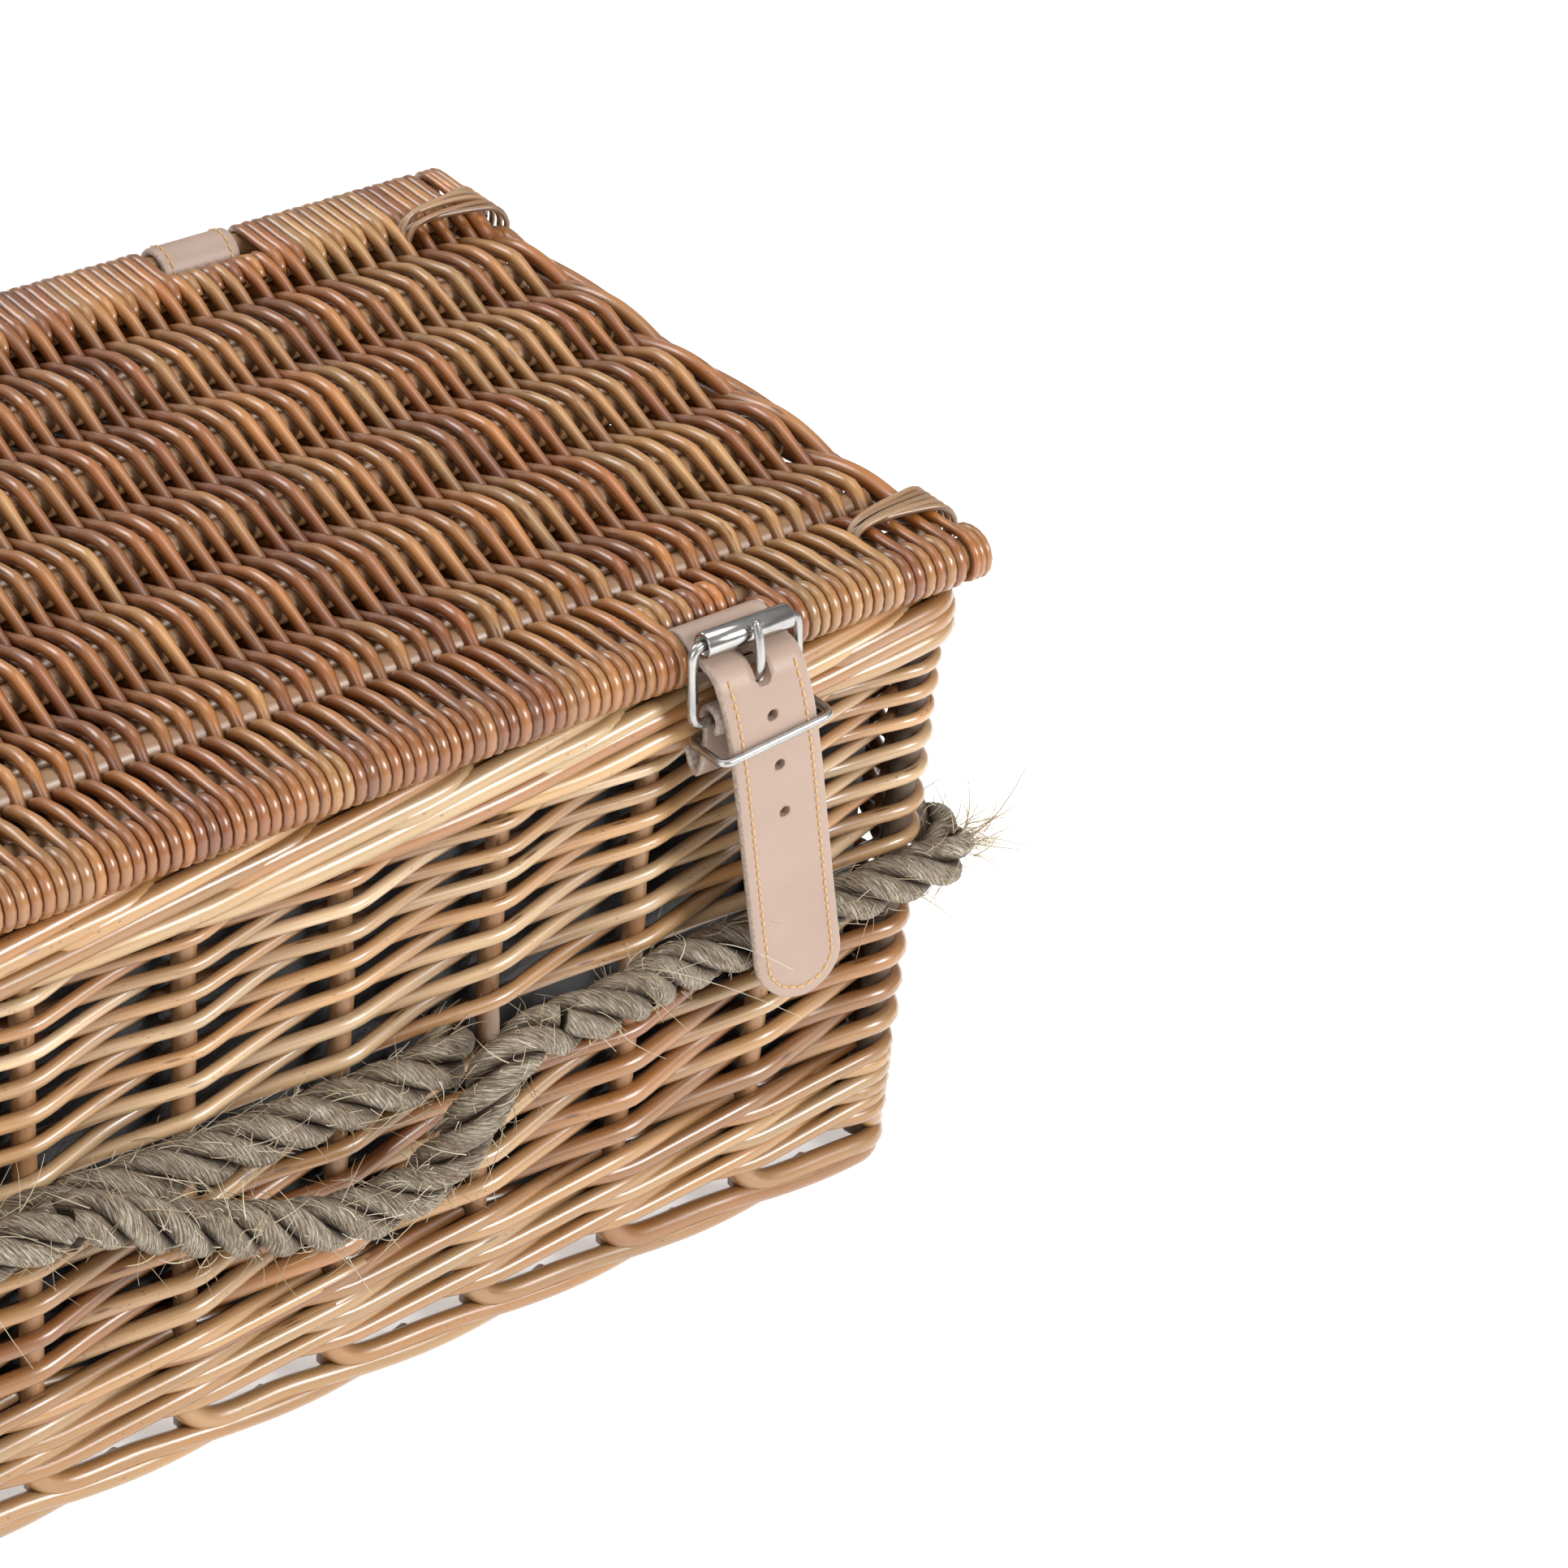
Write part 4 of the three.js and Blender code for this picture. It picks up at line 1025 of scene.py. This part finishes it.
def lay_rope(bundle, fibres, route, hairs_per_mm, start_turn):
    """Three strands laid round the route, with loose fibres standing out of them."""
    line = resample(smooth(route, 12), 2.0)
    side, normal, tangent = frames(line)
    at = lengths_along(line)
    for strand in range(3):
        angle = start_turn + 2 * math.pi * (strand / 3 + at / ROPE_LAY)
        wobble = 1 + 0.05 * np.sin(at * 0.21 + strand * 2)
        out = np.cos(angle)[:, None] * side + np.sin(angle)[:, None] * normal
        path = line + out * (STRAND_OFFSET * wobble)[:, None]
        bundle.tube(path, STRAND_R * (1 + 0.03 * np.sin(at * 0.37 + strand)), sides=18, tone=tone(), side=out)
    for _ in range(int(at[-1] * hairs_per_mm)):
        i = rng.integers(2, len(line) - 2)
        a = rng.random() * 2 * math.pi
        out = math.cos(a) * side[i] + math.sin(a) * normal[i]
        around = np.cross(tangent[i], out)
        sign = 1 if rng.random() < 0.75 else -1
        along = tangent[i] * rng.normal(0.75, 0.35) * sign + around * rng.normal(0.55, 0.45)
        length = min(rng.gamma(2.2, 2.2), 11) + 2
        lift = min(rng.gamma(1.6, 0.28), 0.9)
        curl = rng.normal(0, 0.35, 3)
        t = np.linspace(0, 1, 6)[:, None]
        hair_line = (line[i] + out * (ROPE_R - 0.8) + along * length * t
                     + out * length * (lift * t - 0.35 * t**2) + curl * length * t**2)
        fibres.tube(hair_line, 0.16 * (1 - 0.6 * t[:, 0]) * rng.uniform(0.7, 1.3), sides=3, tone=tone())


def frayed_end(fibres, place, away, count, spread, reach):
    """A tuft of long loose fibres."""
    away = np.array(away, float) / np.linalg.norm(away)
    for _ in range(count):
        base = np.array(place) + rng.normal(0, 2.0, 3)
        way = away + rng.normal(0, spread, 3)
        length = reach * rng.uniform(0.45, 1.1)
        curl = rng.normal(0, 0.35, 3)
        t = np.linspace(0, 1, 8)[:, None]
        fibre = base + way * length * t + curl * length * t**2
        fibres.tube(fibre, 0.2 * (1 - 0.6 * t[:, 0]), sides=4, tone=tone())


def make_ropes():
    handle, handle_hairs = Bundle(), Bundle()
    lay_rope(handle, handle_hairs, HANDLE_ROUTE, 3.0, 0.4)
    rope = handle.build("rope_handle", ROPE, "handle", "rope", ["handle_rope"])
    hairs = handle_hairs.build("rope_handle_fibres", FIBRE, "handle", "rope")
    metres(HANDLE_ROUTE[0])
    metres(smooth(HANDLE_ROUTE, 4))
    girdle, girdle_hairs = Bundle(), Bundle()
    lay_rope(girdle, girdle_hairs, girdle_route(), 1.6, 1.1)
    frayed_end(girdle_hairs, (199, -117, 99), (0.75, -0.35, 0.5), 30, 0.35, 11)
    frayed_end(girdle_hairs, (203, -114, 93), (0.9, -0.2, -0.25), 16, 0.3, 8)
    girdle.build("rope_girdle", ROPE, "basket", "rope", ["girdle_rope"])
    girdle_hairs.build("rope_girdle_fibres", FIBRE, "basket", "rope")
    run, run_hairs = Bundle(), Bundle()
    lay_rope(run, run_hairs, BACK_RUN_ROUTE, 2.8, 2.0)
    run.build("rope_back_run", ROPE, "basket", "rope", ["back_run_rope"])
    run_hairs.build("rope_back_run_fibres", FIBRE, "basket", "rope")


# ---------------------------------------------------------------- leather and steel

STRAP_HALF, STRAP_END_Z, STRAP_SLANT, SLANT_TOP_Z = 12.5, 80, 0.2, 176
STRAP_THICKNESS = 2.2
STRAP_HOLES, HOLE_R = (167.5, 153, 138.5), 1.5
SLOT_Z, SLOT_HALF_X, SLOT_HALF_Z = 180, 2.3, 4.6
PUNCH_Y, PUNCH_SIDES = (-142, -116), 24
STRAP_LINE = [
    (-117.6, 182.0), (-121.8, 180.9), (-125.4, 180.1), (-128.6, 177), (-130, 172), (-130.6, 165),
    (-130.4, 150), (-129.2, 130), (-127.8, 105), (-127, STRAP_END_Z)]
PRONG_LINE = [(-125.4, 168.4), (-126.2, 174), (-128.2, 180.2), (-127.3, 186.4), (-125.6, 190.6)]
CHAPE_LINE = [(-121.9, 163.0), (-121.6, 155), (-119.6, 149.4), (-116.9, 150.6), (-115.6, 153.4),
              (-112.5, 154.3), (-104.9, 154.3)]
HEEL, ROLLER = (-123.5, 166), (-122, 186)
FRAME_HALF, WIRE_R = 15.2, 1.3
KEEPER_HALF, KEEPER_SHIFT, KEEPER_TILT, KEEPER_Z = 15.9, 3, 1.6, 161
ROLLER_HALF = 12.3
LOOP_R = 5.9
EDGE_SOFTNESS = 0.55
STITCH_INSET, STITCHING_FROM = 3.0, 38


def arc_yz(centre, radius, angles):
    """Points (y, z) round a bar; angles in degrees from the back, rising."""
    return [(centre[0] + radius * math.cos(a), centre[1] + radius * math.sin(a)) for a in np.radians(angles)]


def ribbon(line_yz, half, thickness, x_of, round_tip=False, outside=1):
    """A leather band along a (y, z) line, with softened edges.

    Returns its rings, the raw-edge mark of each of their points, and the middle line and its normals.
    """
    line = resample(smooth(line_yz, 10), 1.4)
    if round_tip:
        s = lengths_along(line)
        extra = s[-1] - half * (1 - np.cos(np.linspace(0, math.pi / 2, 12)))
        at = np.unique(np.concatenate([s[s < s[-1] - half], extra]))
        line = np.stack([np.interp(at, s, line[:, i]) for i in (0, 1)], 1)
    reach = np.full(len(line), float(half))
    if round_tip:
        s = lengths_along(line)
        left = s[-1] - s
        near = left < half
        reach[near] = np.sqrt(np.maximum(half**2 - (half - left[near]) ** 2, 0.02))
    tangent = np.gradient(line, axis=0)
    tangent /= np.linalg.norm(tangent, axis=1, keepdims=True)
    normal = outside * np.stack([-tangent[:, 1], tangent[:, 0]], 1)
    t, b = thickness / 2, EDGE_SOFTNESS
    across = np.linspace(-1, 1, 13)
    edge = np.array([(b * 0.7, t - b * 0.35), (b, 0), (b * 0.7, -t + b * 0.35)])
    rings = []
    for place, n, w in zip(line, normal, reach):
        flat = max(w - b, 0.05)
        half_section = np.vstack([np.column_stack([across * flat, np.full(13, t)]), edge + (flat, 0)])
        section = np.vstack([half_section, -half_section])
        yz = place + section[:, 1:] * n
        rings.append(np.column_stack([section[:, 0] + x_of(yz[:, 1]), yz]))
    marks = [0] * 13 + [0.7, 1, 1] + [1] * 13 + [1, 1, 0.7]
    return np.array(rings), np.array([marks] * len(rings)), line, normal


def leather_piece(name, rings, edges, body, nodes, cutters=()):
    bundle = Bundle()
    bundle.grid(rings, lengths_along(rings[:, 6]), (0.5, 0.5, 0.5))
    obj = bundle.build(name, LEATHER_LOOK, body, "leather", nodes)
    mark = obj.data.attributes.new("edge", "FLOAT", "POINT")
    mark.data.foreach_set("value", edges.ravel().astype(np.float32))
    for i, cutter in enumerate(cutters):
        cut = obj.modifiers.new(f"hole_{i}", "BOOLEAN")
        cut.object = cutter
        cut.solver = "EXACT"
    if cutters:
        baked = bpy.data.meshes.new_from_object(obj.evaluated_get(bpy.context.evaluated_depsgraph_get()))
        obj.modifiers.clear()
        obj.data = baked
        for cutter in cutters:
            bpy.data.objects.remove(cutter)
    return obj


def punch(name, x, z, wide, high):
    """A round-ended cutter through the strap along Y, with its half width and half height."""
    ring = []
    for a in np.linspace(0, 2 * math.pi, PUNCH_SIDES, endpoint=False):
        dz = wide * math.sin(a)
        end = math.copysign(max(high - wide, 0), dz if abs(dz) > 1e-6 else 1)
        ring.append((x + wide * math.cos(a), z + dz + end))
    verts = [(px, y, pz) for y in PUNCH_Y for px, pz in ring]
    n = PUNCH_SIDES
    faces = [tuple(range(n)), tuple(range(n, 2 * n))[::-1]]
    faces += [(n + j, n + (j + 1) % n, (j + 1) % n, j) for j in range(n)]
    mesh = bpy.data.meshes.new(name)
    mesh.from_pydata(metres(verts).tolist(), [], faces)
    return add_object(name, mesh)


def stitches(bundle, points, normals, pitch=2.7, length=1.9):
    """Short raised stitches along a line that lies on the leather."""
    s = lengths_along(points)
    for start in np.arange(0.4, s[-1] - length, pitch):
        at = start + np.linspace(0, 1, 6) * length
        line = np.stack([np.interp(at, s, points[:, i]) for i in range(3)], 1)
        up = np.stack([np.interp(at, s, normals[:, i]) for i in range(3)], 1)
        bow = np.sin(np.linspace(0, math.pi, 6))
        line = line + up * (-0.12 + 0.30 * bow)[:, None]
        bundle.tube(line, 0.34, sides=6, tone=tone())


def make_strap(side, sign):
    centre = sign * CLOSURE_X

    def x_of(z):
        return centre + sign * STRAP_SLANT * np.maximum(0, SLANT_TOP_Z - z)

    loop = arc_yz((-EDGE_Y, LID_Z), LOOP_R, np.arange(-135, 91, 22.5))
    rings, edges, line, normal = ribbon(
        loop + STRAP_LINE, STRAP_HALF, STRAP_THICKNESS, x_of, round_tip=True, outside=-1)
    cutters = [punch(f"punch_{side}_{i}", float(x_of(z)), z, HOLE_R, HOLE_R)
               for i, z in enumerate(STRAP_HOLES)]
    cutters.append(punch(f"punch_{side}_slot", centre, SLOT_Z, SLOT_HALF_X, SLOT_HALF_Z))
    leather_piece(f"leather_strap_{side}", rings, edges, f"strap_{side}", [f"strap_{side}"], cutters)
    left = lengths_along(line)[-1] - lengths_along(line)
    used = (left < left[0] - STITCHING_FROM) & (left > STITCH_INSET)
    turned = np.maximum(0, STRAP_HALF - left[used])
    out = np.sqrt(np.maximum((STRAP_HALF - STITCH_INSET) ** 2 - turned**2, 0))
    face = line[used] + normal[used] * STRAP_THICKNESS / 2
    down, up = (np.column_stack([x_of(line[used, 1]) + edge * out, face]) for edge in (-1, 1))
    ups = np.column_stack([np.zeros(len(face)), normal[used]])
    thread = Bundle()
    stitches(thread, np.vstack([down, up[::-1]]), np.vstack([ups, ups[::-1]]))
    thread.build(f"strap_stitching_{side}", THREAD, f"strap_{side}", "leather")


def wire_loop(name, corners, radius, body, node, bend):
    """A closed wire rectangle through four corners, its corners rounded."""
    corners = np.array(corners, float)
    path = []
    for i, c in enumerate(corners):
        before, after = corners[i - 1] - c, corners[(i + 1) % 4] - c
        before, after = before / np.linalg.norm(before), after / np.linalg.norm(after)
        for t in np.linspace(0, 1, 7):
            path.append(c + before * bend * (1 - t) ** 2 + after * bend * t**2)
    line = resample(np.array(path), 1.2, closed=True)
    wire = Bundle()
    wire.tube(line, radius, sides=12, tone=tone(), closed=True)
    wire.build(name, WIRE_STEEL, body, "steel", [node])


def make_buckle(side, sign):
    """The wire frame, the roller, the prong hooked on the heel bar, the keeper, and the chape behind."""
    x = sign * CLOSURE_X
    frame_corners = [(x - FRAME_HALF, *HEEL), (x + FRAME_HALF, *HEEL),
                     (x + FRAME_HALF, *ROLLER), (x - FRAME_HALF, *ROLLER)]
    wire_loop(f"buckle_wire_{side}", frame_corners, WIRE_R, f"buckle_{side}", f"buckle_frame_{side}", 3.4)
    tube = Bundle()
    end = [(ROLLER_HALF - 0.35, 3.2), (ROLLER_HALF, 2.95), (ROLLER_HALF, 2.5), (ROLLER_HALF - 0.3, 2.1)]
    profile = [(-px, r) for px, r in end[::-1]] + end
    angles = np.arange(40) * 9
    rings = np.array([[(x + px, y, z) for y, z in arc_yz(ROLLER, r, angles)] for px, r in profile])
    tube.grid(rings, lengths_along(rings[:, 0]), tone(), closed=True)
    tube.build(f"roller_tube_{side}", ROLLER_STEEL, f"roller_{side}", "steel", [f"buckle_roller_{side}"])
    prong = Bundle()
    hook = arc_yz(HEEL, 2.6, np.arange(60, -185, -25))
    line = resample(smooth([(x, y, z) for y, z in hook + PRONG_LINE], 10), 1.0)
    at = np.linspace(0, 1, len(line))
    prong.tube(line, 1.15 - 0.25 * at**3, sides=12, wide=1.35 - 0.2 * at, side=(1, 0, 0), tone=tone())
    prong.build(f"prong_wire_{side}", WIRE_STEEL, f"prong_{side}", "steel", [f"buckle_prong_{side}"])
    keeper_corners = [(x + sign * KEEPER_SHIFT + e * KEEPER_HALF, y, KEEPER_Z + e * sign * KEEPER_TILT)
                      for e, y in ((-1, -119.6), (1, -119.6), (1, -132.6), (-1, -132.6))]
    wire_loop(f"keeper_wire_{side}", keeper_corners, 1.05, f"keeper_{side}", f"keeper_ring_{side}", 2.6)
    hold = arc_yz(HEEL, 3.1, np.arange(230, -70, -25))
    rings, edges, *_ = ribbon(hold + CHAPE_LINE, 10.6, 1.8, lambda z: x + 0 * z, outside=-1)
    leather_piece(f"chape_leather_{side}", rings, edges, "basket", [f"buckle_chape_{side}"])


def make_hinge(side, sign):
    """A leather band round the lid's back stick and the rim border."""
    x = sign * HINGE_X
    top = arc_yz((EDGE_Y, LID_Z), LOOP_R, np.arange(215, -41, -15))
    low = [(119.2, 170), (119.6, 163), (118.8, 156), (114.5, 153.4), (108.5, 153.6), (103.0, 155.4),
           (101.6, 160), (102.4, 166), (106.0, 172)]
    rings, edges, line, normal = ribbon(top + low, 11.4, 1.9, lambda z: x + 0 * z)
    leather_piece(f"hinge_leather_{side}", rings, edges, "basket", [f"hinge_loop_{side}"])
    thread = Bundle()
    s = lengths_along(line)
    flip = 1 if normal[len(line) // 6] @ np.array([0, 1]) > 0 else -1
    used = (s > 4) & (s < 30)
    for edge in (-1, 1):
        pts = [(x + edge * 8.8, *(p + n * flip * 0.95)) for p, n in zip(line[used], normal[used])]
        ups = [(0, *(n * flip)) for n in normal[used]]
        stitches(thread, np.array(pts), np.array(ups))
    thread.build(f"hinge_stitching_{side}", THREAD, "basket", "leather")


# ---------------------------------------------------------------- stage


FLOOR_HALF = 6.0
SKY_GREYS = [(0.0, (0.7,)), (0.3, (0.45,)), (0.6, (0.9,)), (1.0, (1.0,))]
LAMPS = [  # name, place, width, power
    ("key", (0.80, -1.62, 1.20), 0.7, 35), ("fill", (-1.7, -1.0, 1.1), 1.4, 12),
    ("back", (-0.3, 1.5, 1.35), 0.8, 12), ("top", (0.2, 0.2, 2.2), 1.4, 13)]
LAMP_TARGET = Vector((0, 0, 0.1))


def make_floor():
    mesh = bpy.data.meshes.new("floor")
    corners = [(x * FLOOR_HALF, y * FLOOR_HALF, 0) for x, y in ((-1, -1), (1, -1), (1, 1), (-1, 1))]
    mesh.from_pydata(corners, [], [(0, 1, 2, 3)])
    mesh.materials.append(floor_material())
    add_object("floor", mesh)


def make_sky():
    """A white studio: greys that change with height, so that steel and gloss have something to show."""
    world = bpy.data.worlds.new("studio")
    world.use_nodes = True
    tree = world.node_tree
    sky = tree.nodes["Background"]
    up = tree.nodes.new("ShaderNodeSeparateXYZ")
    tree.links.new(tree.nodes.new("ShaderNodeTexCoord").outputs["Generated"], up.inputs[0])
    band = tree.nodes.new("ShaderNodeValToRGB")
    tree.links.new(up.outputs[2], band.inputs[0])
    fill_ramp(band.color_ramp, SKY_GREYS)
    tree.links.new(band.outputs[0], sky.inputs["Color"])
    sky.inputs["Strength"].default_value = 0.5
    bpy.context.scene.world = world
    bpy.context.scene.view_settings.view_transform = "Standard"


def make_lamps():
    for name, place, size, power in LAMPS:
        data = bpy.data.lights.new(name, "AREA")
        data.shape = "DISK"
        data.size = size
        data.energy = power
        lamp = add_object(name, data)
        lamp.location = place
        lamp.rotation_euler = (LAMP_TARGET - Vector(place)).to_track_quat("-Z", "Y").to_euler()


make_ropes()
make_randing()
make_border()
make_stakes()
make_foot()
make_base()
make_lining()
make_lid_rods()
make_lid_sticks()
make_lid_ends()
make_lashings()
for side, sign in ENDS:
    make_strap(side, sign)
    make_buckle(side, sign)
    make_hinge(side, sign)
make_floor()
make_sky()
make_lamps()
